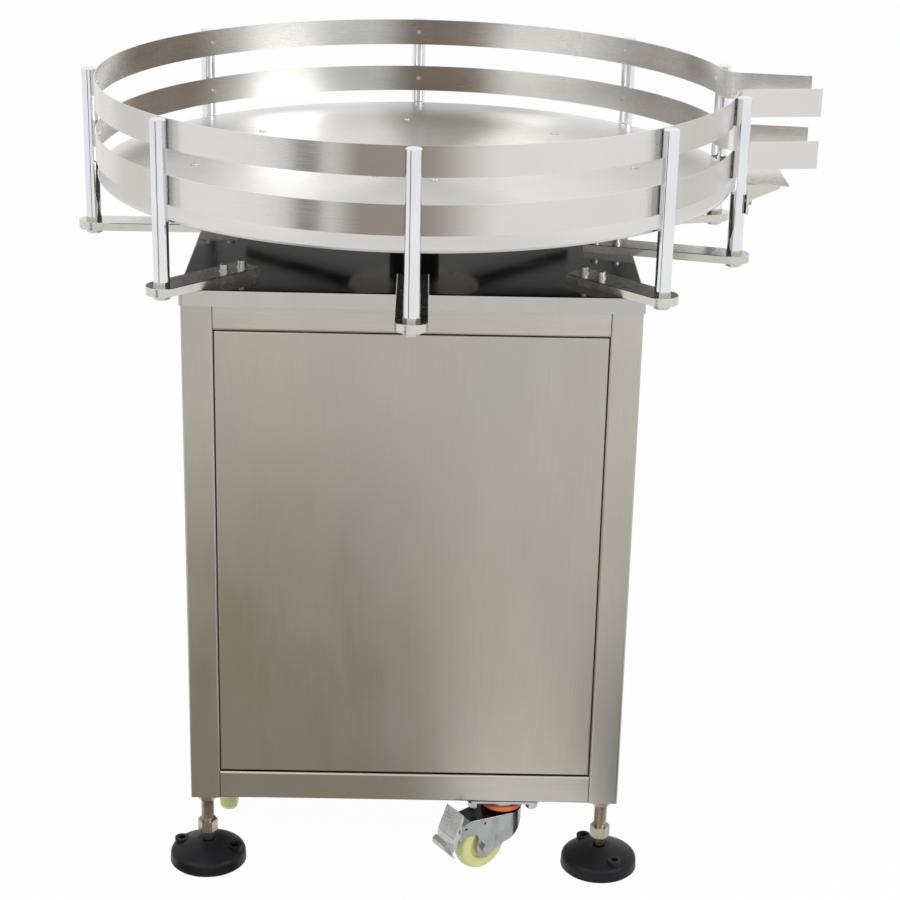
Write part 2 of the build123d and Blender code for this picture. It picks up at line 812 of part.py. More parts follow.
def exit_side_plane(side, reach):
    """Upright plane that faces the conveyor, in line with an exit post at a reach from its axis."""
    x, y = polar(post_circle, exit_post_angle)
    return Plane(origin=(axis_x + x + reach, side * y, bracket_bolt_height), x_dir=(0, 1, 0), z_dir=(1, 0, 0))


with BuildPart() as guide_posts:
    with BuildSketch(level(post_bottom)):
        with Locations(*post_points):
            Circle(post_radius)
    extrude(amount=post_length)
    chamfer(guide_posts.edges().group_by(Axis.Z)[-1], post_chamfer)
    with BuildSketch(level(post_bottom)):
        with Locations(*post_points):
            Circle(post_bolt_radius + thread_fit)
    extrude(amount=post_bolt_depth + 2.0, mode=Mode.SUBTRACT)
    for post_angle in post_angles:
        for middle in band_middles:
            with BuildSketch(radial_plane(post_circle - post_radius - 1.0, post_angle, middle)):
                Circle(band_screw_radius + thread_fit)
            extrude(amount=band_screw_bite + 1.5, mode=Mode.SUBTRACT)
    for side in (-1, 1):
        with BuildSketch(exit_side_plane(side, post_radius + 1.0)):
            Circle(screw_radius + thread_fit)
        extrude(amount=-bracket_bolt_reach - 1.5, mode=Mode.SUBTRACT)
guide_posts.part.label = "guide_posts"
export_step(guide_posts.part, "parts/guide_posts.step")

with BuildPart() as post_jam_nuts:
    with BuildSketch(level(arm_top)):
        with Locations(*post_points):
            RegularPolygon(post_nut_flats / 2, 6, major_radius=False)
            Circle(post_bolt_radius + thread_fit, mode=Mode.SUBTRACT)
    extrude(amount=post_nut_height)
post_jam_nuts.part.label = "post_jam_nuts"
export_step(post_jam_nuts.part, "parts/post_jam_nuts.step")

with BuildPart() as post_bolts:
    with BuildSketch(level(deck)):
        with Locations(*post_points):
            RegularPolygon(post_nut_flats / 2, 6, major_radius=False)
    extrude(amount=-post_bolt_head)
    with BuildSketch(level(deck)):
        with Locations(*post_points):
            Circle(post_bolt_radius)
    extrude(amount=arm_thickness + post_nut_height + post_bolt_depth)
post_bolts.part.label = "post_bolts"
export_step(post_bolts.part, "parts/post_bolts.step")

# Guide bands: most of a circle, then a tight bend out into the exit lane on each side

bend_centre = polar(band_inner + band_thickness / 2 + exit_bend_radius, -exit_bend_start)
bend_turn = 90.0 - exit_bend_start - exit_lane_toe_in
lane_start_x = bend_centre[0] - exit_bend_radius * sin(radians(exit_lane_toe_in))
lane_start_y = bend_centre[1] + exit_bend_radius * cos(radians(exit_lane_toe_in))
lane_length = (exit_reach - lane_start_x) / cos(radians(exit_lane_toe_in))


def band_side(offset):
    """One long edge of the front half of a band, from the back of the ring to the lane's end."""
    ring_radius = band_inner + band_thickness / 2 + offset
    bend_radius = exit_bend_radius - offset
    ring = CenterArc((0, 0), ring_radius, 180, 180 - exit_bend_start)
    bend = CenterArc(bend_centre, bend_radius, 180 - exit_bend_start, -bend_turn)
    lane = PolarLine(bend @ 1, lane_length, exit_lane_toe_in)
    return ring @ 0, lane @ 1


def guide_band(bottom):
    """Whole band at a height, with a clearance hole for the screw at each post."""
    with BuildPart() as band:
        with BuildSketch(level(bottom)):
            with BuildLine():
                outer_back, outer_end = band_side(band_thickness / 2)
                inner_back, inner_end = band_side(-band_thickness / 2)
                Line(outer_back, inner_back)
                Line(outer_end, inner_end)
            make_face()
            mirror(about=Plane.XZ)
        extrude(amount=band_height)
        for post_angle in post_angles:
            with BuildSketch(radial_plane(band_inner - 2.0, post_angle, bottom + band_height / 2)):
                Circle(band_screw_radius + hole_clearance)
            extrude(amount=band_thickness + 4.0, mode=Mode.SUBTRACT)
    return band


upper_guide_band = guide_band(upper_band_bottom)
upper_guide_band.part.label = "upper_guide_band"
export_step(upper_guide_band.part, "parts/upper_guide_band.step")

lower_guide_band = guide_band(lower_band_bottom)
lower_guide_band.part.label = "lower_guide_band"
export_step(lower_guide_band.part, "parts/lower_guide_band.step")

head_face = band_inner - seat_gap
with BuildPart() as band_screws:
    for post_angle in post_angles:
        for middle in band_middles:
            with BuildSketch(radial_plane(head_face, post_angle, middle)):
                Circle(band_screw_head)
            extrude(amount=-band_screw_head_height, taper=20)
            with BuildSketch(radial_plane(head_face, post_angle, middle)):
                Circle(band_screw_radius)
            extrude(amount=band_thickness + band_to_post + band_screw_bite)
band_screws.part.label = "band_screws"
export_step(band_screws.part, "parts/band_screws.step")

# Transfer plate between the disc and the conveyor, on two brackets bolted to the exit posts

transfer_arc = disc_radius + transfer_gap
transfer_corner_x = (transfer_arc**2 - transfer_inner_half**2) ** 0.5
transfer_plane = level(disc_height - transfer_thickness)
bracket_top = disc_height - transfer_thickness
bracket_back = polar(post_circle, exit_post_angle)[0] + post_radius
plate_screw_points = [
    (x, side * (bracket_half_span - bracket_flange / 2 - 2.0))
    for x in (bracket_back + 14.0, bracket_reach - 9.0)
    for side in (-1, 1)
]
plate_screw_radius = 2.0
with BuildPart() as transfer_plate:
    with BuildSketch(transfer_plane):
        with BuildLine():
            corner = (transfer_corner_x, -transfer_inner_half)
            far_corner = (transfer_reach, -transfer_outer_half)
            opposite = (transfer_corner_x, transfer_inner_half)
            far_opposite = (transfer_reach, transfer_outer_half)
            Polyline(corner, far_corner, far_opposite, opposite)
            ThreePointArc(opposite, (transfer_arc, 0), corner)
        make_face()
        with Locations(*plate_screw_points):
            Circle(plate_screw_radius + thread_fit, mode=Mode.SUBTRACT)
    extrude(amount=transfer_thickness)
transfer_plate.part.label = "transfer_plate"
export_step(transfer_plate.part, "parts/transfer_plate.step")

exit_post_y = polar(post_circle, exit_post_angle)[1]
tab_outer = exit_post_y + post_radius
tab_top = bracket_top
web_tip_depth = 5.0
web_waist_x = bracket_back + 15.0
with BuildPart() as transfer_brackets:
    for side in (-1, 1):
        tab_centre = side * (tab_outer + bracket_half_span) / 2
        tab_width = tab_outer - bracket_half_span
        tab_plane = Plane(
            origin=(axis_x + bracket_back + seat_gap, tab_centre, tab_top - bracket_tab_height / 2),
            x_dir=(0, 1, 0),
            z_dir=(1, 0, 0),
        )
        with BuildSketch(tab_plane):
            RectangleRounded(tab_width, bracket_tab_height, 2.0)
        extrude(amount=bracket_thickness)
        with BuildSketch(Plane(origin=(axis_x, side * bracket_half_span, 0), x_dir=(1, 0, 0), z_dir=(0, -1, 0))):
            Polygon(
                (bracket_back + seat_gap, bracket_top),
                (bracket_back + seat_gap, bracket_top - bracket_tab_height + 2.0),
                (web_waist_x, bracket_top - bracket_tab_height + 4.0),
                (bracket_reach, bracket_top - web_tip_depth),
                (bracket_reach, bracket_top),
                align=None,
            )
        extrude(amount=side * bracket_thickness)
        with BuildSketch(level(bracket_top)):
            flange_length = bracket_reach - bracket_back - seat_gap
            with Locations((bracket_reach - flange_length / 2, side * (bracket_half_span - bracket_flange / 2))):
                Rectangle(flange_length, bracket_flange)
            with Locations(*plate_screw_points):
                Circle(plate_screw_radius + thread_fit, mode=Mode.SUBTRACT)
        extrude(amount=-bracket_thickness)
        with BuildSketch(exit_side_plane(side, post_radius - 1.0)):
            Circle(screw_radius + hole_clearance)
        extrude(amount=bracket_thickness + 3.0, mode=Mode.SUBTRACT)
transfer_brackets.part.label = "transfer_brackets"
export_step(transfer_brackets.part, "parts/transfer_brackets.step")

with BuildPart() as transfer_screws:
    for side in (-1, 1):
        with BuildSketch(exit_side_plane(side, post_radius + bracket_thickness + 2 * seat_gap)):
            RegularPolygon(screw_head_radius, 6, major_radius=False)
        extrude(amount=4.0)
        with BuildSketch(exit_side_plane(side, post_radius + bracket_thickness + 2 * seat_gap)):
            Circle(screw_radius)
        extrude(amount=-(bracket_thickness + bracket_bolt_reach))
    with BuildSketch(level(disc_height - 0.4)):
        with Locations(*plate_screw_points):
            Circle(plate_screw_radius)
    extrude(amount=-(transfer_thickness + bracket_thickness))
transfer_screws.part.label = "transfer_screws"
export_step(transfer_screws.part, "parts/transfer_screws.step")

# Casters: the fixed plates with their swivel cups, dust seals and bolts

plate_under = foot_height - caster_plate_thickness
cup_bottom = plate_under - caster_cup_depth
fork_top = foot_height - fork_top_drop
raceway_gap = 0.4
kingpin_head_radius = 10.0
kingpin_head_drop = 3.5

with BuildPart() as caster_plates:
    for x, y, plate_turn, _ in caster_places:
        with BuildSketch(level(plate_under)):
            with Locations(Location((x, y, 0), (0, 0, plate_turn))):
                RectangleRounded(caster_plate_length, caster_plate_width, 7.0)
        extrude(amount=caster_plate_thickness)
    with BuildSketch(level(plate_under)):
        with Locations(*caster_bolt_locations()):
            Circle(caster_bolt_radius + hole_clearance)
    extrude(amount=caster_plate_thickness, mode=Mode.SUBTRACT)
    for x, y, _, _ in caster_places:
        with BuildSketch(level(plate_under)):
            with Locations((x, y)):
                Circle(caster_cup_radius)
        extrude(amount=-caster_cup_depth)
        with BuildSketch(level(plate_under)):
            with Locations((x, y)):
                Circle(kingpin_radius)
        extrude(amount=-(plate_under - fork_top + fork_sheet + raceway_gap + kingpin_head_drop))
        with BuildSketch(level(fork_top - fork_sheet - raceway_gap)):
            with Locations((x, y)):
                Circle(kingpin_head_radius)
        extrude(amount=-kingpin_head_drop, taper=20)
caster_plates.part.label = "caster_plates"
export_step(caster_plates.part, "parts/caster_plates.step")

seal_width = 3.0
seal_height = 6.0
with BuildPart() as caster_seals:
    with BuildSketch(level(cup_bottom + 0.3)):
        with Locations(*[(x, y) for x, y, _, _ in caster_places]):
            Circle(caster_cup_radius + seat_gap + seal_width)
            Circle(caster_cup_radius + seat_gap, mode=Mode.SUBTRACT)
    extrude(amount=seal_height)
    chamfer(caster_seals.edges().group_by(Axis.Z)[0], 0.8)
caster_seals.part.label = "caster_seals"
export_step(caster_seals.part, "parts/caster_seals.step")

caster_nut_height = 6.5
with BuildPart() as caster_bolts:
    with BuildSketch(level(plate_under)):
        with Locations(*caster_bolt_locations()):
            RegularPolygon(caster_bolt_flats / 2, 6, major_radius=False)
    extrude(amount=-caster_nut_height)
    with BuildSketch(level(plate_under)):
        with Locations(*caster_bolt_locations()):
            Circle(caster_bolt_radius)
    extrude(amount=-(caster_nut_height + 2.0))
    with BuildSketch(level(plate_under)):
        with Locations(*caster_bolt_locations()):
            Circle(caster_bolt_radius)
    extrude(amount=caster_plate_thickness + tube_wall)
caster_bolts.part.label = "caster_bolts"
export_step(caster_bolts.part, "parts/caster_bolts.step")

# Each caster's fork, wheel and brake pedal, drawn upright along the way that the fork trails

axle_height = caster_floor_gap + caster_wheel_radius
brake_pivot_height = foot_height - brake_pivot_drop
horn_radius = 5.6
raceway_radius = 21.0
leg_inner = fork_half_width - fork_sheet
hub_half = leg_inner - 0.3
ear_gap = 0.4
ear_inner = fork_half_width + ear_gap
ear_outer = ear_inner + brake_sheet
pedal_half = ear_outer
bolt_head_flats = 13.0
bolt_head_height = 5.3
pin_head_radius = 4.0
pin_head_height = 1.2


def caster_frame(number):
    """Upright plane through a caster's swivel axis: X is the way it trails, Y is up."""
    x, y, _, trail_angle = caster_places[number]
    away = (cos(radians(trail_angle)), sin(radians(trail_angle)), 0)
    across = (sin(radians(trail_angle)), -cos(radians(trail_angle)), 0)
    return Plane(origin=(axis_x + x, y, 0), x_dir=away, z_dir=across)


def caster_level(number, height):
    """Level plane at a height on a caster's swivel axis, its X along the way that it trails."""
    x, y, _, trail_angle = caster_places[number]
    away = (cos(radians(trail_angle)), sin(radians(trail_angle)), 0)
    return Plane(origin=(axis_x + x, y, height), x_dir=away, z_dir=(0, 0, 1))


leg_brow = (-fork_skirt_radius, fork_top)
leg_cheek = (-12.0, 56.0)
leg_chin = (5.0, 42.4)
leg_boss_centre = (caster_trail - 2.2, axle_height + 0.7)


def fork_shell(number):
    """Bent sheet of the fork: a round skirt at the swivel, two flat legs and a tapered top."""
    frame = caster_frame(number)
    leg_length = brake_pivot_reach + horn_radius
    with BuildPart() as shell:
        with BuildSketch(caster_level(number, 0)):
            Circle(fork_skirt_radius)
            with Locations((leg_length / 2, 0)):
                Rectangle(leg_length, 2 * fork_half_width)
        extrude(amount=fork_top)
        with BuildSketch(caster_level(number, 0)):
            Circle(fork_skirt_radius - fork_sheet)
            with Locations((leg_length / 2 + 1.0, 0)):
                Rectangle(leg_length + 2.0, 2 * leg_inner)
        extrude(amount=fork_top - fork_sheet, mode=Mode.SUBTRACT)
        with BuildSketch(frame.offset(-fork_skirt_radius - 1.0)):
            with BuildLine():
                ThreePointArc(leg_brow, leg_cheek, leg_chin)
                Polyline(
                    leg_chin,
                    (11.0, 40.0),
                    (leg_boss_centre[0] - 12.5, leg_boss_centre[1] - 9.2),
                    (leg_boss_centre[0] + 13.5, leg_boss_centre[1] - 7.6),
                    (47.6, 41.8),
                    (46.0, 50.0),
                    (48.0, 57.0),
                    (53.0, 59.3),
                    (70.0, 58.0),
                    (73.0, 55.5),
                    (79.5, 60.0),
                    (brake_pivot_reach + 3.5, fork_top - 5.0),
                    (fork_tail, fork_top),
                    leg_brow,
                )
            make_face()
            with Locations(leg_boss_centre):
                Circle(axle_boss_radius)
            with Locations((brake_pivot_reach, brake_pivot_height)):
                Circle(horn_radius)
        extrude(amount=2 * fork_skirt_radius + 2.0, mode=Mode.INTERSECT)
        with BuildSketch(caster_level(number, fork_top - fork_sheet)):
            Circle(fork_skirt_radius)
            Polygon(
                (0, fork_skirt_radius),
                (0, -fork_skirt_radius),
                (fork_tail - 2.0, -fork_half_width),
                (fork_tail - 2.0, fork_half_width),
                align=None,
            )
        extrude(amount=fork_sheet)
        chamfer(shell.faces().sort_by(Axis.Z)[-1].edges(), 0.6)
    return shell


def caster_fork(number):
    """Fork with its raceway, the axle bolt with its nut, and the brake's pivot pin."""
    frame = caster_frame(number)
    shell = fork_shell(number)
    with BuildPart() as fork:
        add(shell.part)
        with BuildSketch(caster_level(number, fork_top)):
            Circle(raceway_radius)
        extrude(amount=cup_bottom - fork_top - raceway_gap, taper=10)
        with BuildSketch(caster_level(number, fork_top - fork_sheet)):
            Circle(kingpin_radius + running_fit)
        extrude(amount=caster_cup_depth + fork_sheet + 2.0, mode=Mode.SUBTRACT)
        with BuildSketch(frame.offset(-fork_half_width)):
            with Locations((caster_trail, axle_height)):
                Circle(axle_radius + seat_gap)
            with Locations((brake_pivot_reach, brake_pivot_height)):
                Circle(brake_pin_radius + seat_gap)
            with Locations((36.8, 71.0)):
                Circle(1.6)
            with Locations((66.5, 71.0)):
                SlotOverall(5.0, 2.6)
        extrude(amount=2 * fork_half_width, mode=Mode.SUBTRACT)
        with BuildSketch(frame.offset(-fork_half_width - bolt_head_height - seat_gap)):
            with Locations((caster_trail, axle_height)):
                Circle(axle_radius)
        extrude(amount=2 * fork_half_width + 2 * bolt_head_height + 2 * seat_gap + 2.0)
        for start in (-fork_half_width - bolt_head_height - seat_gap, fork_half_width + seat_gap):
            with BuildSketch(frame.offset(start)):
                with Locations((caster_trail, axle_height)):
                    RegularPolygon(bolt_head_flats / 2, 6, major_radius=False)
            extrude(amount=bolt_head_height)
        with BuildSketch(frame.offset(-ear_outer - pin_head_height - seat_gap)):
            with Locations((brake_pivot_reach, brake_pivot_height)):
                Circle(brake_pin_radius)
        extrude(amount=2 * (ear_outer + pin_head_height + seat_gap))
        for start in (-ear_outer - pin_head_height - seat_gap, ear_outer + seat_gap):
            with BuildSketch(frame.offset(start)):
                with Locations((brake_pivot_reach, brake_pivot_height)):
                    Circle(pin_head_radius)
            extrude(amount=pin_head_height)
    return fork


def caster_wheel(number):
    """Solid moulded wheel with a well rounded tread, dished faces and a plain hub."""
    upright = caster_frame(number)
    origin = upright.from_local_coords(Vector(caster_trail, axle_height, 0))
    section = Plane(origin=origin, x_dir=upright.x_dir, z_dir=upright.y_dir * -1)
    half = caster_wheel_width / 2
    bore = axle_radius + running_fit
    rim = caster_wheel_radius
    with BuildPart() as wheel:
        with BuildSketch(section):
            with BuildLine():
                Polyline((bore, -hub_half), (9.0, -hub_half), (10.0, -half + 3.0), (17.5, -half + 3.0))
                Polyline((17.5, -half + 3.0), (20.0, -half), (rim - 6.5, -half))
                ThreePointArc((rim - 6.5, -half), (rim - 3.6, -half + 1.1), (rim - 1.9, -half + 3.6))
                ThreePointArc((rim - 1.9, -half + 3.6), (rim, 0), (rim - 1.9, half - 3.6))
                ThreePointArc((rim - 1.9, half - 3.6), (rim - 3.6, half - 1.1), (rim - 6.5, half))
                Polyline((rim - 6.5, half), (20.0, half), (17.5, half - 3.0))
                Polyline((17.5, half - 3.0), (10.0, half - 3.0), (9.0, hub_half), (bore, hub_half))
                Line((bore, hub_half), (bore, -hub_half))
            make_face()
        revolve(axis=Axis(section.origin, upright.z_dir))
    return wheel


pedal_top = (73.1, 94.3)
pedal_bend = (86.2, 63.5)
pedal_low = (86.8, 52.5)
lip_shoulder = (91.8, 48.6)
lip_side = (92.0, 44.0)
lip_tip = (88.9, 39.8)
shoe_root = (86.0, 62.0)
shoe_tip = (65.8, 57.2)
ear_radius = 5.0
pedal_rib_height = 1.0


def brake_pedal(number):
    """Stamped brake pedal: a ribbed tread, a wide curled lip, two ears on the pin and an inner shoe."""
    frame = caster_frame(number)
    with BuildPart() as pedal:
        with BuildSketch(frame.offset(-pedal_half)):
            with BuildLine():
                FilletPolyline(pedal_top, pedal_bend, pedal_low, radius=5.0)
            trace(line_width=brake_sheet)
        extrude(amount=2 * pedal_half)
        with BuildSketch(frame.offset(-brake_lip_half)):
            with BuildLine():
                FilletPolyline(pedal_low, lip_shoulder, lip_side, lip_tip, radius=1.6)
            trace(line_width=brake_sheet)
        extrude(amount=2 * brake_lip_half)
        for start in (-ear_outer, ear_inner):
            with BuildSketch(frame.offset(start)):
                Polygon(
                    (pedal_top[0] - 1.0, pedal_top[1] - 3.0),
                    (brake_pivot_reach, brake_pivot_height + ear_radius),
                    (brake_pivot_reach, brake_pivot_height - ear_radius),
                    (pedal_low[0] - 6.5, pedal_low[1] + 6.0),
                    (pedal_low[0] - 4.0, pedal_low[1] - 5.0),
                    (pedal_low[0] + 1.0, pedal_low[1] - 8.0),
                    (pedal_low[0] + 2.5, pedal_low[1] - 1.0),
                    pedal_low,
                    pedal_bend,
                    pedal_top,
                    align=None,
                )
                with Locations((brake_pivot_reach, brake_pivot_height)):
                    Circle(ear_radius)
                    Circle(brake_pin_radius + running_fit, mode=Mode.SUBTRACT)
            extrude(amount=brake_sheet)
        with BuildSketch(frame.offset(-leg_inner + 3.5)):
            with BuildLine():
                Line(shoe_root, shoe_tip)
            trace(line_width=brake_sheet)
        extrude(amount=2 * (leg_inner - 3.5))
        slope = hypot(pedal_bend[0] - pedal_top[0], pedal_bend[1] - pedal_top[1])
        tread_dir = ((pedal_bend[0] - pedal_top[0]) / slope, (pedal_bend[1] - pedal_top[1]) / slope)
        outward = (-tread_dir[1], tread_dir[0])
        for step in (6.0, 10.0, 14.0):
            rib_x = pedal_top[0] + tread_dir[0] * step + outward[0] * brake_sheet / 2
            rib_y = pedal_top[1] + tread_dir[1] * step + outward[1] * brake_sheet / 2
            with BuildSketch(frame.offset(-pedal_half + 6.0)):
                with Locations((rib_x, rib_y)):
                    Circle(pedal_rib_height)
            extrude(amount=2 * (pedal_half - 6.0))
    return pedal


for caster in range(4):
    fork = caster_fork(caster)
    fork.part.label = f"caster_fork_{caster + 1}"
    export_step(fork.part, f"parts/caster_fork_{caster + 1}.step")
    wheel = caster_wheel(caster)
    wheel.part.label = f"caster_wheel_{caster + 1}"
    export_step(wheel.part, f"parts/caster_wheel_{caster + 1}.step")
    pedal = brake_pedal(caster)
    pedal.part.label = f"brake_pedal_{caster + 1}"
    export_step(pedal.part, f"parts/brake_pedal_{caster + 1}.step")

# Levelling feet: threaded inserts in the corner posts, studs with a ball end and moulded bases

foot_places = [
    (post_pitch_x / 2, -post_pitch_y / 2, 120.0),
    (-post_pitch_x / 2, -post_pitch_y / 2, 166.0),
    (-post_pitch_x / 2, post_pitch_y / 2, 300.0),
    (post_pitch_x / 2, post_pitch_y / 2, 30.0),
]
insert_fit = 0.2
with BuildPart() as foot_inserts:
    with BuildSketch(level(foot_height)):
        with GridLocations(post_pitch_x, post_pitch_y, 2, 2):
            insert_width = tube - 2 * tube_wall - 2 * insert_fit
            RectangleRounded(insert_width, insert_width, tube_corner - tube_wall)
    extrude(amount=foot_insert_height)
    with BuildSketch(level(foot_height)):
        with GridLocations(post_pitch_x, post_pitch_y, 2, 2):
            RegularPolygon(foot_hex_flats / 2, 6, major_radius=False)
    extrude(amount=-foot_lock_nut_height)
    chamfer(foot_inserts.edges().group_by(Axis.Z)[0], 1.2)
    with BuildSketch(level(foot_height - foot_lock_nut_height)):
        with GridLocations(post_pitch_x, post_pitch_y, 2, 2):
            Circle(foot_stud_radius + thread_fit)
    extrude(amount=foot_lock_nut_height + foot_insert_height, mode=Mode.SUBTRACT)
foot_inserts.part.label = "foot_inserts"
export_step(foot_inserts.part, "parts/foot_inserts.step")

ball_clearance = 0.3
neck_opening = 7.6
cone_bottom = foot_dome_top + 1.6
cone_bottom_radius = 7.4
cone_top_radius = 8.6


def foot_stud(number):
    """Threaded stud with a ball end, a short cone and the spanner hexagon above it."""
    x, y, _ = foot_places[number]
    upright = Plane(origin=(axis_x + x, y, 0), x_dir=(1, 0, 0), z_dir=(0, -1, 0))
    ball_top = foot_ball_height + (foot_ball_radius**2 - foot_neck_radius**2) ** 0.5
    with BuildPart() as stud:
        with BuildSketch(upright):
            with BuildLine():
                ThreePointArc(
                    (0, foot_ball_height - foot_ball_radius),
                    (foot_ball_radius, foot_ball_height),
                    (foot_neck_radius, ball_top),
                )
                Polyline(
                    (foot_neck_radius, ball_top),
                    (foot_neck_radius, cone_bottom),
                    (cone_bottom_radius, cone_bottom),
                    (cone_top_radius, foot_hex_bottom),
                    (foot_stud_radius, foot_hex_bottom),
                    (foot_stud_radius, foot_stud_top - 1.5),
                    (foot_stud_radius - 1.5, foot_stud_top),
                    (0, foot_stud_top),
                    (0, foot_ball_height - foot_ball_radius),
                )
            make_face()
        revolve(axis=Axis((axis_x + x, y, 0), (0, 0, 1)))
        with BuildSketch(Plane((axis_x + x, y, foot_hex_bottom))):
            RegularPolygon(foot_hex_flats / 2, 6, major_radius=False)
        extrude(amount=foot_hex_height)
    return stud


def foot_base(number):
    """Moulded base: low cone with a round shoulder, a ball socket and two anchor bosses."""
    x, y, anchor_angle = foot_places[number]
    origin = Vector(axis_x + x, y, 0)
    upright = Plane(origin=origin, x_dir=(1, 0, 0), z_dir=(0, -1, 0))
    anchors = [
        (foot_anchor_circle * cos(radians(a)), foot_anchor_circle * sin(radians(a)))
        for a in (anchor_angle, anchor_angle + 180.0)
    ]
    with BuildPart() as base:
        with BuildSketch(upright):
            with BuildLine():
                Polyline(
                    (0, 0),
                    (foot_base_radius - 1.5, 0),
                    (foot_base_radius, 1.5),
                    (foot_base_radius - 0.6, foot_rim_height),
                )
                ThreePointArc(
                    (foot_base_radius - 0.6, foot_rim_height),
                    (foot_base_radius - 2.4, foot_rim_height + 4.0),
                    (foot_base_radius - 6.0, foot_rim_height + 6.6),
                )
                ThreePointArc(
                    (foot_base_radius - 6.0, foot_rim_height + 6.6),
                    (30.0, foot_dome_top - 4.6),
                    (14.0, foot_dome_top),
                )
                Polyline((14.0, foot_dome_top), (0, foot_dome_top), (0, 0))
            make_face()
        revolve(axis=Axis(origin, (0, 0, 1)))
        with BuildSketch(Plane(origin)):
            with Locations(*anchors):
                Circle(foot_anchor_boss)
        extrude(amount=foot_anchor_top)
        with BuildSketch(Plane(origin)):
            with Locations(*anchors):
                Circle(foot_anchor_hole)
        extrude(amount=foot_anchor_top, mode=Mode.SUBTRACT)
        with BuildSketch(upright):
            with BuildLine():
                socket = foot_ball_radius + ball_clearance
                ThreePointArc(
                    (0, foot_ball_height - socket), (socket, foot_ball_height), (0, foot_ball_height + socket)
                )
                Line((0, foot_ball_height + socket), (0, foot_ball_height - socket))
            make_face()
        revolve(axis=Axis(origin, (0, 0, 1)), mode=Mode.SUBTRACT)
        with BuildSketch(Plane(origin).offset(foot_ball_height)):
            Circle(neck_opening)
        extrude(amount=foot_dome_top - foot_ball_height, mode=Mode.SUBTRACT)
    return base


for foot in range(4):
    stud = foot_stud(foot)
    stud.part.label = f"foot_stud_{foot + 1}"
    export_step(stud.part, f"parts/foot_stud_{foot + 1}.step")
    base = foot_base(foot)
    base.part.label = f"foot_base_{foot + 1}"
    export_step(base.part, f"parts/foot_base_{foot + 1}.step")

# Speed controller on the left panel, with its knob and rocker switch, and the cable gland

knob_offset = 18.0
rocker_offset = -28.0
knob_shaft_radius = 3.0
rocker_radius = 9.0
rocker_width = 11.0
rocker_slot_gap = 0.4
rocker_tilt = 10.0
rocker_pivot_depth = 4.0
with BuildPart() as controller:
    with BuildSketch(controller_face.offset(seat_gap)):
        RectangleRounded(controller_width, controller_length, 4.0)
    extrude(amount=bezel_thickness)
    fillet(controller.faces().sort_by(Axis.X)[0].edges(), 1.5)
    with BuildSketch(controller_face.offset(seat_gap)):
        Rectangle(controller_width - 14.0, controller_length - 14.0)
    extrude(amount=-controller_depth)
    with BuildSketch(controller_face.offset(bezel_thickness + seat_gap)):
        with Locations((0, knob_offset)):
            Circle(knob_shaft_radius + running_fit)
    extrude(amount=-14.0, mode=Mode.SUBTRACT)
    with BuildSketch(controller_face.offset(bezel_thickness + seat_gap)):
        with Locations((0, rocker_offset)):
            Rectangle(rocker_width + 2 * rocker_slot_gap, 2 * (rocker_radius + rocker_slot_gap))
    extrude(amount=-(rocker_pivot_depth + rocker_radius + 3.0), mode=Mode.SUBTRACT)
controller.part.label = "controller"
export_step(controller.part, "parts/controller.step")

bezel_surface = controller_face.offset(bezel_thickness + seat_gap)
knob_gap = 0.5
with BuildPart() as speed_knob:
    with BuildSketch(bezel_surface.offset(knob_gap)):
        with Locations((0, knob_offset)):
            Circle(knob_radius)
    extrude(amount=knob_height, taper=4)
    fillet(speed_knob.faces().sort_by(Axis.X)[0].edges(), 1.2)
    with BuildSketch(bezel_surface.offset(knob_gap + knob_height)):
        with Locations((0, knob_offset + knob_radius / 2)):
            Rectangle(1.6, knob_radius)
    extrude(amount=-0.8, mode=Mode.SUBTRACT)
    with BuildSketch(bezel_surface.offset(knob_gap + 1.0)):
        with Locations((0, knob_offset)):
            Circle(knob_shaft_radius)
    extrude(amount=-12.0)
speed_knob.part.label = "speed_knob"
export_step(speed_knob.part, "parts/speed_knob.step")

rocker_centre = Vector(bezel_surface.origin.X + rocker_pivot_depth, controller_along, controller_height + rocker_offset)
rocker_face = (-cos(radians(rocker_tilt)), 0, sin(radians(rocker_tilt)))
rocker_plane = Plane(origin=rocker_centre, x_dir=rocker_face, z_dir=(0, 1, 0))
with BuildPart() as power_rocker:
    with BuildSketch(rocker_plane.offset(-rocker_width / 2)):
        Circle(rocker_radius)
        with Locations((rocker_radius + 3.6, 0)):
            Rectangle(10.0, 40.0, mode=Mode.SUBTRACT)
        with Locations((-rocker_radius, 0)):
            Rectangle(10.0, 40.0, mode=Mode.SUBTRACT)
    extrude(amount=rocker_width)
power_rocker.part.label = "power_rocker"
export_step(power_rocker.part, "parts/power_rocker.step")

with BuildPart() as cable_gland:
    with BuildSketch(gland_face.offset(seat_gap)):
        RegularPolygon(11.0, 6, major_radius=False)
    extrude(amount=5.0)
    with BuildSketch(gland_face.offset(seat_gap + 5.0)):
        Circle(10.0)
    extrude(amount=9.0, taper=10)
    with BuildSketch(gland_face.offset(seat_gap)):
        Circle(gland_radius)
    extrude(amount=-14.0)
    with BuildSketch(gland_face.offset(-sheet - seat_gap)):
        RegularPolygon(11.0, 6, major_radius=False)
    extrude(amount=-4.0)
    with BuildSketch(gland_face.offset(20.0)):
        Circle(gland_bore)
    extrude(amount=-40.0, mode=Mode.SUBTRACT)
cable_gland.part.label = "cable_gland"
export_step(cable_gland.part, "parts/cable_gland.step")
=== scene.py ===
"""Looks of the bottle unscrambler: finishes for its CAD nodes, and the fine pieces that they lack.

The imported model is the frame. Everything here is in metres, with the floor at Z = 0 and the front
panel towards -Y.
"""

import logging
from collections.abc import Callable, Iterator, Sequence
from contextlib import contextmanager
from dataclasses import dataclass, field
from enum import Enum
from math import atan2, cos, hypot, pi, radians, sin

import bmesh
import bpy
from mathutils import Matrix, Vector


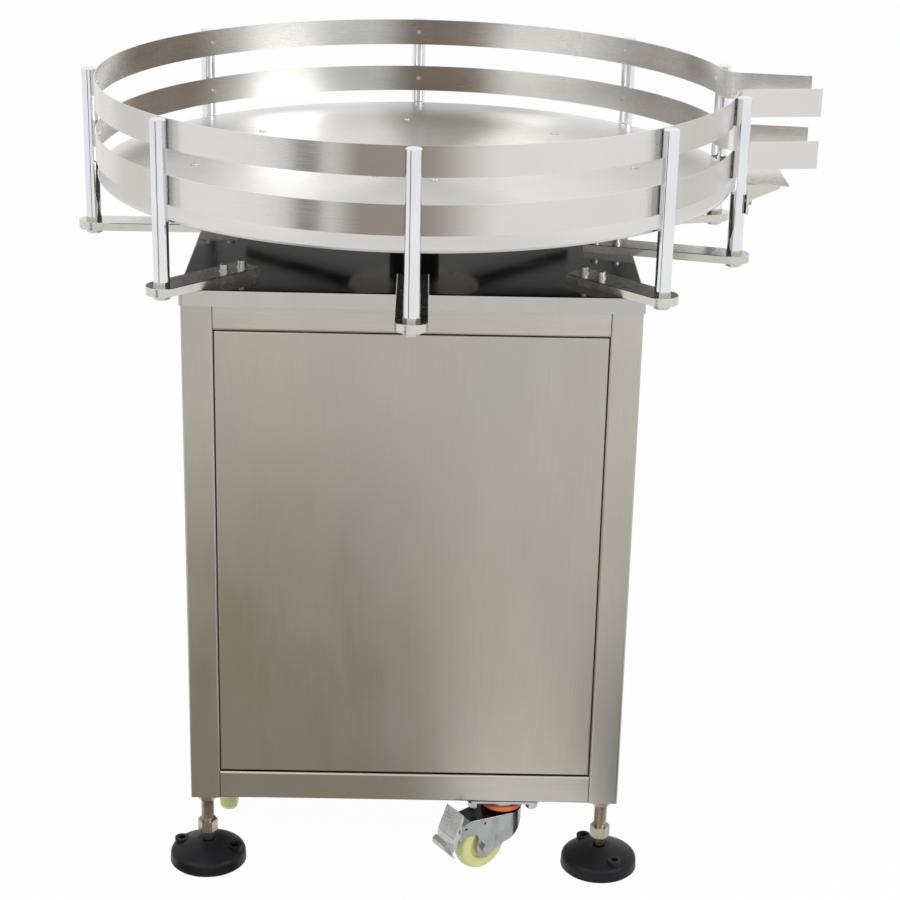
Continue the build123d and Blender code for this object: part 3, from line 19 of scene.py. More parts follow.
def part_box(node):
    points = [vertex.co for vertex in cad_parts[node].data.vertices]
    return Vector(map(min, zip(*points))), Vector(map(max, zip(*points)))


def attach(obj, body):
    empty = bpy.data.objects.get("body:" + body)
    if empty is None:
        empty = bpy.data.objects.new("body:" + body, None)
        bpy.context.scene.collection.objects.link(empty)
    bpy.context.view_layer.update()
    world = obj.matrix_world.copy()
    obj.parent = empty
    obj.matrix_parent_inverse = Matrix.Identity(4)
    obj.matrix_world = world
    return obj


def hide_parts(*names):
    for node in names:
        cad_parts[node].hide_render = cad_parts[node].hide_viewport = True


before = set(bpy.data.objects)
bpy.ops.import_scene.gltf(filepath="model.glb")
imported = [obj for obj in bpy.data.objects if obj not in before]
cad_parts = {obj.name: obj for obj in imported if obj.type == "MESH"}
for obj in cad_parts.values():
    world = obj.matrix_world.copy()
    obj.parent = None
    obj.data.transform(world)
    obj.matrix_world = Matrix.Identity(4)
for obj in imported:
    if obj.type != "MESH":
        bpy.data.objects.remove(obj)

log = logging.getLogger("unscrambler")
MM = 0.001
METAL = {"Metallic": 1.0}
NEAR = 0.001 * MM
Colour = tuple[float, float, float]
Place = tuple[float, float, float]
Socket = bpy.types.NodeSocket
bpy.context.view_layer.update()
TABLE_AXIS = (-0.0365, 0.0)


class Grain(Enum):
    """Way that the lines of a brushed surface run, as the stretch of its noise along X, Y and Z."""

    UPRIGHT = (1.0, 1.0, 0.006)
    LEVEL = (0.006, 0.006, 1.0)
    ALONG_X = (0.006, 1.0, 1.0)
    NONE = (1.0, 1.0, 1.0)


class Part(Enum):
    """Kind of mesh element that is picked in edit mode."""

    FACE = "FACE"
    EDGE = "EDGE"
    VERT = "VERT"


# Modelling by hand: selection, edit mode and finishing a piece


def clear_selection() -> None:
    """Leave edit mode if it is open and select nothing."""
    if bpy.context.object and bpy.context.object.mode != "OBJECT":
        bpy.ops.object.mode_set(mode="OBJECT")
    bpy.ops.object.select_all(action="DESELECT")


def activate(piece: bpy.types.Object, *others: bpy.types.Object) -> None:
    """Select a piece, with any others, and nothing else, and make it the active one."""
    clear_selection()
    for chosen in (piece, *others):
        chosen.select_set(True)
    bpy.context.view_layer.objects.active = piece


@contextmanager
def editing(piece: bpy.types.Object, kind: Part = Part.FACE) -> Iterator[None]:
    """Open a piece in edit mode with one kind of element selectable, and close it afterwards.

    Args:
        piece: the object to open.
        kind: the kind of element that is picked.
    """
    activate(piece)
    bpy.ops.object.mode_set(mode="EDIT")
    bpy.ops.mesh.select_mode(type=kind.value)
    yield
    bpy.ops.object.mode_set(mode="OBJECT")


def pick(piece: bpy.types.Object, kind: Part, test: Callable[[object], bool]) -> int:
    """Select the elements of the open piece that pass a test, and nothing else.

    Args:
        piece: the object that is open in edit mode.
        kind: faces, edges or vertices.
        test: called with each element.

    Returns:
        How many elements were selected.
    """
    bpy.ops.mesh.select_all(action="DESELECT")
    mesh = bmesh.from_edit_mesh(piece.data)
    elements = {Part.FACE: mesh.faces, Part.EDGE: mesh.edges, Part.VERT: mesh.verts}[kind]
    count = 0
    for element in elements:
        if test(element):
            element.select_set(True)
            count += 1
    mesh.select_flush_mode()
    bmesh.update_edit_mesh(piece.data)
    return count


def join(pieces: Sequence[bpy.types.Object], name: str) -> bpy.types.Object:
    """Join several mesh objects into the first of them.

    Args:
        pieces: the objects to join.
        name: the name of the result.

    Returns:
        The joined object.
    """
    activate(*pieces)
    if len(pieces) > 1:
        bpy.ops.object.join()
    pieces[0].name = name
    pieces[0].data.name = name
    return pieces[0]


def apply_place(piece: bpy.types.Object) -> None:
    """Move a piece's place, turn and scale into its mesh, so that its object sits at the origin.

    Args:
        piece: the object to settle.
    """
    activate(piece)
    bpy.ops.object.transform_apply(location=True, rotation=True, scale=True)


def add_modifier(piece: bpy.types.Object, kind: str, **settings: object) -> None:
    """Add a modifier to a piece and apply it.

    Args:
        piece: the object to change.
        kind: the modifier's type.
        settings: the modifier's properties.
    """
    activate(piece)
    modifier = piece.modifiers.new(kind.title(), kind)
    for key, value in settings.items():
        setattr(modifier, key, value)
    bpy.ops.object.modifier_apply(modifier=modifier.name)


def turned(name: str, profile: Sequence[tuple[float, float]], sides: int = 48) -> bpy.types.Object:
    """Turn a closed shape about the Z axis, by extruding a disc upwards and resizing it at each step.

    Args:
        name: the name of the piece.
        profile: radius and height of each step in metres, from the bottom up.
        sides: how many sides the circle has.

    Returns:
        The new piece.
    """
    clear_selection()
    radius, height = profile[0]
    bpy.ops.mesh.primitive_circle_add(
        vertices=sides, radius=radius, fill_type="NGON", location=(0, 0, height)
    )
    piece = bpy.context.object
    piece.name = name
    apply_place(piece)
    with editing(piece):
        bpy.ops.mesh.select_all(action="SELECT")
        for next_radius, next_height in profile[1:]:
            bpy.ops.mesh.extrude_region_move(
                TRANSFORM_OT_translate={"value": (0, 0, next_height - height)}
            )
            factor = next_radius / radius
            bpy.ops.transform.resize(value=(factor, factor, 1), center_override=(0, 0, 0))
            radius, height = next_radius, next_height
        bpy.ops.mesh.select_all(action="SELECT")
        bpy.ops.mesh.normals_make_consistent(inside=False)
    return piece


def smooth(piece: bpy.types.Object, angle: float = 35.0) -> None:
    """Shade a piece smooth, apart from its edges sharper than an angle in degrees."""
    activate(piece)
    bpy.ops.object.shade_smooth_by_angle(angle=radians(angle))


def copy_of(piece: bpy.types.Object, placement: Matrix) -> bpy.types.Object:
    """Copy a piece with a mesh of its own and move the copy's mesh.

    Args:
        piece: the object to copy.
        placement: where the copy goes.

    Returns:
        The new piece.
    """
    twin = piece.copy()
    twin.data = piece.data.copy()
    twin.data.transform(placement)
    bpy.context.scene.collection.objects.link(twin)
    return twin


def remove(piece: bpy.types.Object) -> None:
    """Delete a piece that was only a pattern for copies."""
    bpy.data.objects.remove(piece)


def round_edges(piece: bpy.types.Object, width: float, test: Callable[[object], bool]) -> None:
    """Bevel the edges of a piece that pass a test, in two segments.

    Args:
        piece: the object to change.
        width: the bevel's width in metres.
        test: called with each edge.
    """
    with editing(piece, Part.EDGE):
        if pick(piece, Part.EDGE, test):
            bpy.ops.mesh.bevel(offset=width, segments=2, affect="EDGES", clamp_overlap=True)


# Finishes


@dataclass(frozen=True)
class ReflectionPatch:
    """Painted reflection: a soft darker patch on rolled or turned sheet, standing in for the surroundings
    that it reflects.

    Its direction about the table's axis is in degrees from +X. It fades over some degrees on each side,
    and the core is the share of them that keeps the full depth.
    """

    direction: float
    before: float
    after: float
    depth: float
    core: float = 0.3

    def stops(self) -> list[tuple[float, float]]:
        """Give the patch's edges and its full part.

        Returns:
            Each place in turns from -X through -Y, with the factor there.
        """
        reaches = (
            (-self.before, 0.0),
            (-self.before * self.core, self.depth),
            (self.after * self.core, self.depth),
            (self.after, 0.0),
        )
        return [((self.direction + reach) / 360.0 + 0.5, depth) for reach, depth in reaches]


class Graph:
    """Shader node tree of one material, with short calls to add and link its nodes."""

    def __init__(self, name: str) -> None:
        """Start a material with a principled surface.

        Args:
            name: the material's name.
        """
        self.material = bpy.data.materials.new(name)
        self.material.use_nodes = True
        self.tree = self.material.node_tree
        self.surface = self.tree.nodes["Principled BSDF"]
        self.place = self.add("ShaderNodeTexCoord").outputs["Object"]

    def add(self, kind: str, **settings: object) -> bpy.types.Node:
        """Add a node and set its properties."""
        node = self.tree.nodes.new(kind)
        for key, value in settings.items():
            setattr(node, key, value)
        return node

    def link(self, source: Socket, target: Socket) -> None:
        """Join an output to an input."""
        self.tree.links.new(source, target)

    def noise(self, scale: float, stretch: Sequence[float] = (1, 1, 1), detail: float = 3.0) -> Socket:
        """Noise on the object's own coordinates.

        Args:
            scale: how fine the noise is, in features a metre.
            stretch: the noise's scale along X, Y and Z.
            detail: how many finer layers it has.

        Returns:
            The noise's factor.
        """
        mapping = self.add("ShaderNodeMapping")
        mapping.inputs["Scale"].default_value = tuple(stretch)
        self.link(self.place, mapping.inputs["Vector"])
        texture = self.add("ShaderNodeTexNoise")
        texture.inputs["Scale"].default_value = scale
        texture.inputs["Detail"].default_value = detail
        self.link(mapping.outputs["Vector"], texture.inputs["Vector"])
        return texture.outputs["Fac"]

    def spread(
        self, value: Socket, low: float, high: float, start: float = 0.3, stop: float = 0.7
    ) -> Socket:
        """Map a factor to a range.

        Args:
            value: the factor.
            low: the result where the factor is at start.
            high: the result where the factor is at stop.
            start: the factor's low end.
            stop: the factor's high end.

        Returns:
            The mapped value.
        """
        node = self.add("ShaderNodeMapRange")
        node.inputs["From Min"].default_value = start
        node.inputs["From Max"].default_value = stop
        node.inputs["To Min"].default_value = low
        node.inputs["To Max"].default_value = high
        self.link(value, node.inputs["Value"])
        return node.outputs["Result"]

    def sum(self, first: Socket, second: Socket) -> Socket:
        """Add two values."""
        node = self.add("ShaderNodeMath", operation="ADD")
        self.link(first, node.inputs[0])
        self.link(second, node.inputs[1])
        return node.outputs[0]

    def blend(self, factor: Socket, first: Colour, second: Colour) -> Socket:
        """Blend two colours by a factor."""
        node = self.add("ShaderNodeMix", data_type="RGBA")
        node.inputs["A"].default_value = (*first, 1.0)
        node.inputs["B"].default_value = (*second, 1.0)
        self.link(factor, node.inputs["Factor"])
        return node.outputs["Result"]

    def tint(self, colour: Socket, factor: Socket, shade: Colour) -> Socket:
        """Blend a colour towards a shade by a factor."""
        node = self.add("ShaderNodeMix", data_type="RGBA")
        node.inputs["B"].default_value = (*shade, 1.0)
        self.link(colour, node.inputs["A"])
        self.link(factor, node.inputs["Factor"])
        return node.outputs["Result"]

    def above(self, height: float) -> Socket:
        """Give a factor that is 1 above a height of the object and 0 below it, with a soft edge.

        Args:
            height: the height in metres.

        Returns:
            The factor.
        """
        edge = 0.1 * MM
        parts = self.add("ShaderNodeSeparateXYZ")
        self.link(self.place, parts.inputs["Vector"])
        return self.spread(parts.outputs["Z"], 0.0, 1.0, start=height - edge, stop=height + edge)

    def fan(self, centre: Sequence[float], reflection_patches: Sequence[ReflectionPatch]) -> Socket:
        """Give a factor that rises in soft areas round an upright axis: painted reflections, as rolled or
        turned sheet would show them under lights.

        Args:
            centre: where the axis stands, along X and Y.
            reflection_patches: the painted reflections, in the order of their directions, none over another.

        Returns:
            The factor.
        """
        mapping = self.add("ShaderNodeMapping")
        mapping.inputs["Location"].default_value = (-centre[0], -centre[1], 0.0)
        self.link(self.place, mapping.inputs["Vector"])
        turn = self.add("ShaderNodeTexGradient", gradient_type="RADIAL")
        self.link(mapping.outputs["Vector"], turn.inputs["Vector"])
        stops = [stop for patch in reflection_patches for stop in patch.stops()]
        ramp = self.add("ShaderNodeValToRGB")
        ramp.color_ramp.interpolation = "EASE"
        marks = ramp.color_ramp.elements
        marks[0].position, marks[1].position = stops[0][0], stops[-1][0]
        for position, _ in stops[1:-1]:
            marks.new(position)
        for mark, (_, value) in zip(marks, stops):
            mark.color = (value, value, value, 1.0)
        self.link(turn.outputs["Fac"], ramp.inputs["Fac"])
        return ramp.outputs["Color"]

    def dress(self, colour: Socket, rough: Socket, levels: dict[str, float]) -> None:
        """Give the surface its colour, its roughness and the levels of its other inputs.

        Args:
            colour: the base colour.
            rough: the roughness.
            levels: the other inputs' values, by their names.
        """
        self.link(colour, self.surface.inputs["Base Color"])
        self.link(rough, self.surface.inputs["Roughness"])
        for name, value in levels.items():
            self.surface.inputs[name].default_value = value

    def bump(self, height: Socket, depth: float) -> None:
        """Add relief to the surface.

        Args:
            height: the relief's height factor.
            depth: its depth in metres.
        """
        node = self.add("ShaderNodeBump")
        node.inputs["Strength"].default_value = 1.0
        node.inputs["Distance"].default_value = depth
        self.link(height, node.inputs["Height"])
        self.link(node.outputs["Normal"], self.surface.inputs["Normal"])


@dataclass(frozen=True)
class BrushedSteel:
    """Stainless sheet or tube with fine brushed lines, faint clouds from handling, and where given, painted
    reflections as darker areas about the table's axis.
    """

    name: str
    colour: Colour
    cloud: Colour
    grain: Grain
    roughness: float = 0.34
    fineness: float = 2600.0
    cloud_scale: float = 4.0
    line_depth: float = 0.04 * MM
    contrast: float = 0.06
    reflection_patches: tuple[ReflectionPatch, ...] = ()
    # colour of the painted reflections
    shade: Colour = (0.23, 0.19, 0.155)
    wipes_per_cloud: float = 6.0

    def material(self) -> bpy.types.Material:
        """Build the material.

        Returns:
            The new material.
        """
        graph = Graph(self.name)
        lines = graph.noise(self.fineness, self.grain.value, detail=4.0)
        clouds = graph.noise(self.cloud_scale, (1.0, 1.0, 0.7))
        wipes = graph.noise(self.cloud_scale * self.wipes_per_cloud, (1.0, 1.0, 0.35), detail=5.0)
        cloudy = graph.spread(clouds, 0.0, 1.0, start=0.35, stop=0.68)
        colour = graph.blend(cloudy, self.colour, self.cloud)
        dark = tuple(channel * (1.0 - 3.0 * self.contrast) for channel in self.colour)
        colour = graph.tint(colour, graph.spread(lines, 0.0, 0.5, start=0.42, stop=0.72), dark)
        # painted reflection: darker areas about the table's axis, tinted towards the shade colour
        if self.reflection_patches:
            colour = graph.tint(colour, graph.fan(TABLE_AXIS, self.reflection_patches), self.shade)
        low, high = self.roughness * 0.82, self.roughness * 1.12
        rough = graph.sum(graph.spread(lines, low, high), graph.spread(wipes, -0.03, 0.05))
        graph.dress(colour, rough, METAL)
        graph.bump(lines, self.line_depth)
        return graph.material


@dataclass(frozen=True)
class TurnedSteel:
    """Stainless disc: fine grain, a painted reflection as a soft fan of darker areas about its axis, and a
    painted shade on its underside.
    """

    name: str
    colour: Colour
    # colour of the painted reflections, and of the grain's darker lines
    shade: Colour
    # colour of the painted shade on the underside
    under: Colour
    painted_shade_top: float
    reflection_patches: tuple[ReflectionPatch, ...]
    roughness: float = 0.3
    fineness: float = 3600.0
    cloud_scale: float = 3.0
    line_depth: float = 0.01 * MM

    def material(self) -> bpy.types.Material:
        """Build the material.

        Returns:
            The new material.
        """
        graph = Graph(self.name)
        lines = graph.noise(self.fineness, Grain.ALONG_X.value)
        clouds = graph.noise(self.cloud_scale)
        # painted reflection: a fan of darker areas about the axis, softened by random clouds
        fan = graph.fan(TABLE_AXIS, self.reflection_patches)
        soft = graph.sum(fan, graph.spread(clouds, -0.12, 0.12))
        colour = graph.blend(soft, self.colour, self.shade)
        colour = graph.tint(colour, graph.spread(lines, 0.0, 0.22, start=0.42, stop=0.72), self.shade)
        # painted shade: near black below painted_shade_top, on the disc's underside
        under = graph.spread(graph.above(self.painted_shade_top), 1.0, 0.0, start=0.0, stop=1.0)
        low, high = self.roughness * 0.85, self.roughness * 1.1
        rough = graph.sum(graph.spread(lines, low, high), graph.spread(clouds, -0.02, 0.03))
        graph.dress(graph.tint(colour, under, self.under), rough, METAL)
        graph.bump(lines, self.line_depth)
        return graph.material


@dataclass(frozen=True)
class PolishedSteel:
    """Smooth steel or chrome: sharp reflections, faint wipe marks, a trace of its rolling lines, and a
    painted shade above a height where one is given.
    """

    name: str
    colour: Colour
    roughness: float
    mark: float = 0.04
    ripple: float = 0.0
    grain: Grain = Grain.NONE
    painted_shade_above: float | None = None
    # colour of the painted shade
    dark: Colour = (0.19, 0.185, 0.178)
    mark_scale: float = 26.0
    line_scale: float = 1900.0
    ripple_scale: float = 7.0

    def material(self) -> bpy.types.Material:
        """Build the material.

        Returns:
            The new material.
        """
        graph = Graph(self.name)
        marks = graph.noise(self.mark_scale, (1.0, 1.0, 0.5), detail=6.0)
        lines = graph.noise(self.line_scale, self.grain.value)
        dull = tuple(channel * 0.9 for channel in self.colour)
        colour = graph.blend(graph.spread(marks, 0.0, 0.7), self.colour, dull)
        # painted shade above the given height
        if self.painted_shade_above is not None:
            colour = graph.tint(colour, graph.above(self.painted_shade_above), self.dark)
        rough = graph.sum(
            graph.spread(marks, self.roughness, self.roughness + self.mark, start=0.4, stop=0.75),
            graph.spread(lines, 0.0, self.mark * 0.5),
        )
        graph.dress(colour, rough, METAL)
        if self.ripple:
            graph.bump(graph.noise(self.ripple_scale, detail=2.0), self.ripple)
        return graph.material


@dataclass(frozen=True)
class ZincPlate:
    """Zinc-plated pressed steel: mottled, a little yellow or blue, duller where it is handled, with a painted
    shade above a height where one is given.
    """

    name: str
    colour: Colour
    stain: Colour
    roughness: float = 0.3
    painted_shade_above: float | None = None
    # colour of the painted shade
    dark: Colour = (0.05, 0.05, 0.05)
    mottle_scale: float = 60.0
    speck_scale: float = 900.0
    speck_depth: float = 0.03 * MM

    def material(self) -> bpy.types.Material:
        """Build the material.

        Returns:
            The new material.
        """
        graph = Graph(self.name)
        mottle = graph.noise(self.mottle_scale, detail=6.0)
        speck = graph.noise(self.speck_scale, detail=2.0)
        stained = graph.spread(mottle, 0.0, 1.0, start=0.38, stop=0.66)
        colour = graph.blend(stained, self.colour, self.stain)
        # painted shade above the given height
        if self.painted_shade_above is not None:
            colour = graph.tint(colour, graph.above(self.painted_shade_above), self.dark)
        low, high = self.roughness - 0.06, self.roughness + 0.12
        rough = graph.sum(graph.spread(mottle, low, high), graph.spread(speck, -0.03, 0.05))
        graph.dress(colour, rough, METAL)
        graph.bump(speck, self.speck_depth)
        return graph.material


@dataclass(frozen=True)
class MouldedPlastic:
    """Moulded plastic or rubber with a fine grain, a soft sheen and cloudy traces of dust."""

    name: str
    colour: Colour
    worn: Colour
    roughness: float
    grain_scale: float = 1400.0
    grain_depth: float = 0.06 * MM
    coat: float = 0.0
    coat_roughness: float = 0.15
    specular: float = 0.5
    dust_scale: float = 35.0

    def material(self) -> bpy.types.Material:
        """Build the material.

        Returns:
            The new material.
        """
        graph = Graph(self.name)
        pores = graph.noise(self.grain_scale)
        dust = graph.noise(self.dust_scale, detail=6.0)
        dusty = graph.spread(dust, 0.0, 1.0, start=0.45, stop=0.8)
        low, high = self.roughness - 0.05, self.roughness + 0.1
        rough = graph.sum(graph.spread(dust, low, high), graph.spread(pores, -0.04, 0.04))
        levels = {
            "Specular IOR Level": self.specular,
            "Coat Weight": self.coat,
            "Coat Roughness": self.coat_roughness,
        }
        graph.dress(graph.blend(dusty, self.colour, self.worn), rough, levels)
        graph.bump(pores, self.grain_depth)
        return graph.material


@dataclass(frozen=True)
class Paint:
    """Sprayed paint over a casting, with orange peel and a rougher ground under it."""

    name: str
    colour: Colour
    roughness: float
    peel: float = 0.1 * MM
    peel_scale: float = 420.0
    cloud_scale: float = 18.0
    coat: float = 0.25

    def material(self) -> bpy.types.Material:
        """Build the material.

        Returns:
            The new material.
        """
        graph = Graph(self.name)
        peel = graph.noise(self.peel_scale, detail=2.0)
        clouds = graph.noise(self.cloud_scale, detail=4.0)
        paler = tuple(min(1.0, channel * 1.18 + 0.01) for channel in self.colour)
        colour = graph.blend(graph.spread(clouds, 0.0, 1.0), self.colour, paler)
        rough = graph.spread(clouds, self.roughness, self.roughness + 0.1)
        graph.dress(colour, rough, {"Coat Weight": self.coat})
        graph.bump(peel, self.peel)
        return graph.material


Finish = BrushedSteel | TurnedSteel | PolishedSteel | ZincPlate | MouldedPlastic | Paint

PANEL = BrushedSteel(
    "panel_steel",
    colour=(0.47, 0.455, 0.42),
    cloud=(0.54, 0.495, 0.415),
    grain=Grain.UPRIGHT,
    roughness=0.36,
    fineness=2800.0,
    cloud_scale=3.2,
    line_depth=0.015 * MM,
    contrast=0.025,
)
POST = BrushedSteel(
    "tube_steel_upright",
    colour=(0.50, 0.475, 0.425),
    cloud=(0.56, 0.53, 0.47),
    grain=Grain.UPRIGHT,
    roughness=0.33,
    fineness=2800.0,
    line_depth=0.02 * MM,
    contrast=0.03,
)
RAIL = BrushedSteel(
    "tube_steel_level",
    colour=(0.50, 0.475, 0.43),
    cloud=(0.56, 0.535, 0.48),
    grain=Grain.LEVEL,
    roughness=0.33,
    fineness=2800.0,
    line_depth=0.02 * MM,
    contrast=0.03,
)
# The cover's top, above 774.2 mm, carries a painted shade: the reflection of the shaded underside of the
# disc.
COVER = PolishedSteel(
    "cover_steel",
    colour=(0.50, 0.485, 0.455),
    roughness=0.07,
    ripple=0.2 * MM,
    grain=Grain.ALONG_X,
    painted_shade_above=774.2 * MM,
)
# The bands' darker areas at these directions are painted reflections of the surroundings.
BAND = BrushedSteel(
    "band_steel",
    colour=(0.69, 0.67, 0.645),
    cloud=(0.74, 0.725, 0.70),
    grain=Grain.LEVEL,
    roughness=0.25,
    fineness=3600.0,
    cloud_scale=3.0,
    line_depth=0.004 * MM,
    contrast=0.012,
    reflection_patches=(
        ReflectionPatch(-145.0, 10.0, 10.0, 0.25),
        ReflectionPatch(-95.0, 10.0, 20.0, 0.88),
        ReflectionPatch(-30.0, 20.0, 10.0, 0.3),
        ReflectionPatch(30.0, 20.0, 20.0, 0.5),
        ReflectionPatch(85.0, 15.0, 15.0, 0.9),
        ReflectionPatch(150.0, 25.0, 25.0, 0.9),
    ),
)
# The disc's fan of darker areas is a painted reflection, and its near-black underside is painted shade.
DISC = TurnedSteel(
    "disc_steel",
    colour=(0.70, 0.69, 0.67),
    shade=(0.33, 0.315, 0.295),
    under=(0.012, 0.012, 0.012),
    painted_shade_top=859.2 * MM,
    reflection_patches=(ReflectionPatch(-90.0, 45.0, 45.0, 0.5), ReflectionPatch(80.0, 25.0, 25.0, 0.9)),
)
ARM = BrushedSteel(
    "arm_steel",
    colour=(0.62, 0.605, 0.55),
    cloud=(0.70, 0.68, 0.62),
    grain=Grain.NONE,
    roughness=0.24,
    fineness=1500.0,
    cloud_scale=12.0,
    line_depth=0.03 * MM,
)
# Near-black metal: painted shade for the disc's spider and bearing housing, which stand in the shadow under
# the disc.
SHADED_SPIDER = BrushedSteel(
    "spider_steel",
    colour=(0.03, 0.03, 0.03),
    cloud=(0.04, 0.04, 0.038),
    grain=Grain.NONE,
    roughness=0.4,
    fineness=1300.0,
    cloud_scale=9.0,
)
MACHINED = BrushedSteel(
    "machined_steel",
    colour=(0.42, 0.41, 0.39),
    cloud=(0.48, 0.47, 0.44),
    grain=Grain.NONE,
    roughness=0.36,
    fineness=1300.0,
    cloud_scale=9.0,
)
CHROME = PolishedSteel("post_chrome", (0.80, 0.805, 0.835), roughness=0.035, mark=0.02)
SCREW = PolishedSteel("screw_steel", (0.60, 0.59, 0.56), roughness=0.2, mark=0.08)
CASTING = Paint("casting_paint", (0.18, 0.19, 0.20), roughness=0.45, peel=0.2 * MM)
MOTOR = Paint("motor_paint", (0.05, 0.09, 0.13), roughness=0.35)
ZINC = ZincPlate("caster_zinc", (0.56, 0.57, 0.56), (0.45, 0.46, 0.47), roughness=0.24)
# The fork's top, above 79.7 mm, carries a painted shade where the swivel cup shades it.
FORK = ZincPlate(
    "fork_zinc", (0.40, 0.42, 0.405), (0.33, 0.345, 0.34), roughness=0.22, painted_shade_above=79.7 * MM
)
STUD = ZincPlate("stud_zinc", (0.44, 0.39, 0.315), (0.33, 0.295, 0.24))
HEX = ZincPlate("hex_nickel", (0.47, 0.43, 0.365), (0.37, 0.34, 0.29), roughness=0.22)
SEAL = MouldedPlastic("seal_rubber", (0.72, 0.17, 0.05), (0.62, 0.17, 0.07), roughness=0.5)
WHEEL = MouldedPlastic(
    "wheel_nylon",
    colour=(0.725, 0.735, 0.33),
    worn=(0.65, 0.65, 0.30),
    roughness=0.38,
    grain_scale=600.0,
    grain_depth=0.03 * MM,
    coat=0.2,
)
BLACK = MouldedPlastic(
    "foot_nylon", (0.008, 0.008, 0.010), (0.014, 0.014, 0.016), roughness=0.42, specular=0.17
)
CONTROL = MouldedPlastic("control_plastic", (0.03, 0.03, 0.032), (0.045, 0.045, 0.045), roughness=0.4)
SCALE = MouldedPlastic("scale_print", (0.75, 0.75, 0.73), (0.66, 0.66, 0.64), roughness=0.5)


class Wardrobe:
    """Keeps one material for each finish, and puts them on CAD nodes and new pieces."""

    def __init__(self) -> None:
        """Start with no materials."""
        self.made: dict[str, bpy.types.Material] = {}

    def get(self, finish: Finish) -> bpy.types.Material:
        """Give the material of a finish, and build it the first time."""
        if finish.name not in self.made:
            self.made[finish.name] = finish.material()
        return self.made[finish.name]

    def put(self, finish: Finish, piece: bpy.types.Object) -> None:
        """Put a finish on an object in the place of what it wears."""
        piece.data.materials.clear()
        piece.data.materials.append(self.get(finish))

    def node(self, name: str, finish: Finish) -> None:
        """Put a finish on a CAD node.

        Args:
            name: the node's name.
            finish: the finish it gets.
        """
        self.put(finish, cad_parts[name])
        log.info("node %s wears %s", name, finish.name)

    def nodes(self, finishes: dict[str, Finish]) -> None:
        """Put finishes on CAD nodes, which are named by the keys."""
        for name, finish in finishes.items():
            self.node(name, finish)

    def piece(self, piece: bpy.types.Object, body: str, finish: Finish, slot: str) -> None:
        """Settle a new piece: its place, finish and body.

        Args:
            piece: the new object.
            body: the CAD body that it rides on.
            finish: the finish it gets.
            slot: the record's material slot, not used.
        """
        apply_place(piece)
        self.put(finish, piece)
        smooth(piece)
        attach(piece, body)
        log.info("piece %s rides on %s", piece.name, body)


@dataclass
class Cabinet:
    """Frame, panels, cover and floor plate, with the screws that hold the door's hinges.

    The screw head's profile is in shares of its radius and its rise.
    """

    wardrobe: Wardrobe
    finishes: dict[str, Finish] = field(
        default_factory=lambda: {
            "corner_posts": POST,
            "frame_rails": RAIL,
            "floor_plate": MACHINED,
            "mounting_plate": MACHINED,
            "top_cover": COVER,
            "front_panel": PANEL,
            "left_panel": PANEL,
            "right_panel": PANEL,
            "rear_door": PANEL,
            "door_hinge_leaves": SCREW,
            "door_hinge_flaps": SCREW,
            "door_lock": SCREW,
        }
    )
    head_radius: float = 3.2 * MM
    head_rise: float = 0.9 * MM
    head_profile: tuple[tuple[float, float], ...] = ((1.0, 0.0), (1.0, 0.35), (0.86, 0.8), (0.6, 1.0))
    recess_radius: float = 1.3 * MM
    recess_depth: float = 0.7 * MM
    screw_rows: tuple[float, float, float] = (-22.0 * MM, 0.0, 22.0 * MM)
    leaf_reach: float = 33.2 * MM
    leaf_half_height: float = 32.0 * MM
    leaf_middle: float = 19.2 * MM
    leaf_rise: float = 2.0 * MM
    post_face: float = 272.5 * MM
    door_face: float = 271.7 * MM

    def screw_head(self) -> bpy.types.Object:
        """Model one low domed screw head with a round recess, its axis along +Z.

        Returns:
            The screw head, on the origin.
        """
        radius, rise = self.head_radius, self.head_rise
        profile = [(radius * across, rise * up) for across, up in self.head_profile]
        flat = profile[-1][0]
        head = turned("hinge_screw", profile, sides=24)
        with editing(head):
            pick(head, Part.FACE, lambda f: f.normal.z > 0.9 and f.calc_center_median().z > rise * 0.9)
            bpy.ops.mesh.inset(thickness=flat - self.recess_radius)
            bpy.ops.mesh.extrude_region_move(TRANSFORM_OT_translate={"value": (0, 0, -self.recess_depth)})
        return head

    def hinge_screws(self, name: str, node: str, body: str, side: float) -> None:
        """Put three screw heads on each leaf of the two hinges.

        Args:
            name: the piece's name.
            node: the CAD node of the leaves.
            body: the body that the leaves belong to.
            side: 1 for the leaves on the post, -1 for those on the door.
        """
        low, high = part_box(node)
        axis_x = high.x - self.leaf_reach if side > 0 else low.x + self.leaf_reach
        leaf_x = axis_x + side * self.leaf_middle
        leaf_y = (self.post_face if side > 0 else self.door_face) + self.leaf_rise
        pattern = self.screw_head()
        heads = []
        facing_back = Matrix.Rotation(-pi / 2, 4, "X")
        for middle in (low.z + self.leaf_half_height, high.z - self.leaf_half_height):
            for row in self.screw_rows:
                place = Matrix.Translation((leaf_x, leaf_y, middle + row)) @ facing_back
                heads.append(copy_of(pattern, place))
        remove(pattern)
        self.wardrobe.piece(join(heads, name), body, SCREW, "screw_steel")

    def build(self) -> None:
        """Dress the nodes and add the hinge screws."""
        self.wardrobe.nodes(self.finishes)
        self.hinge_screws("hinge_screws_post", "door_hinge_leaves", "cabinet", 1.0)
        self.hinge_screws("hinge_screws_door", "door_hinge_flaps", "door", -1.0)


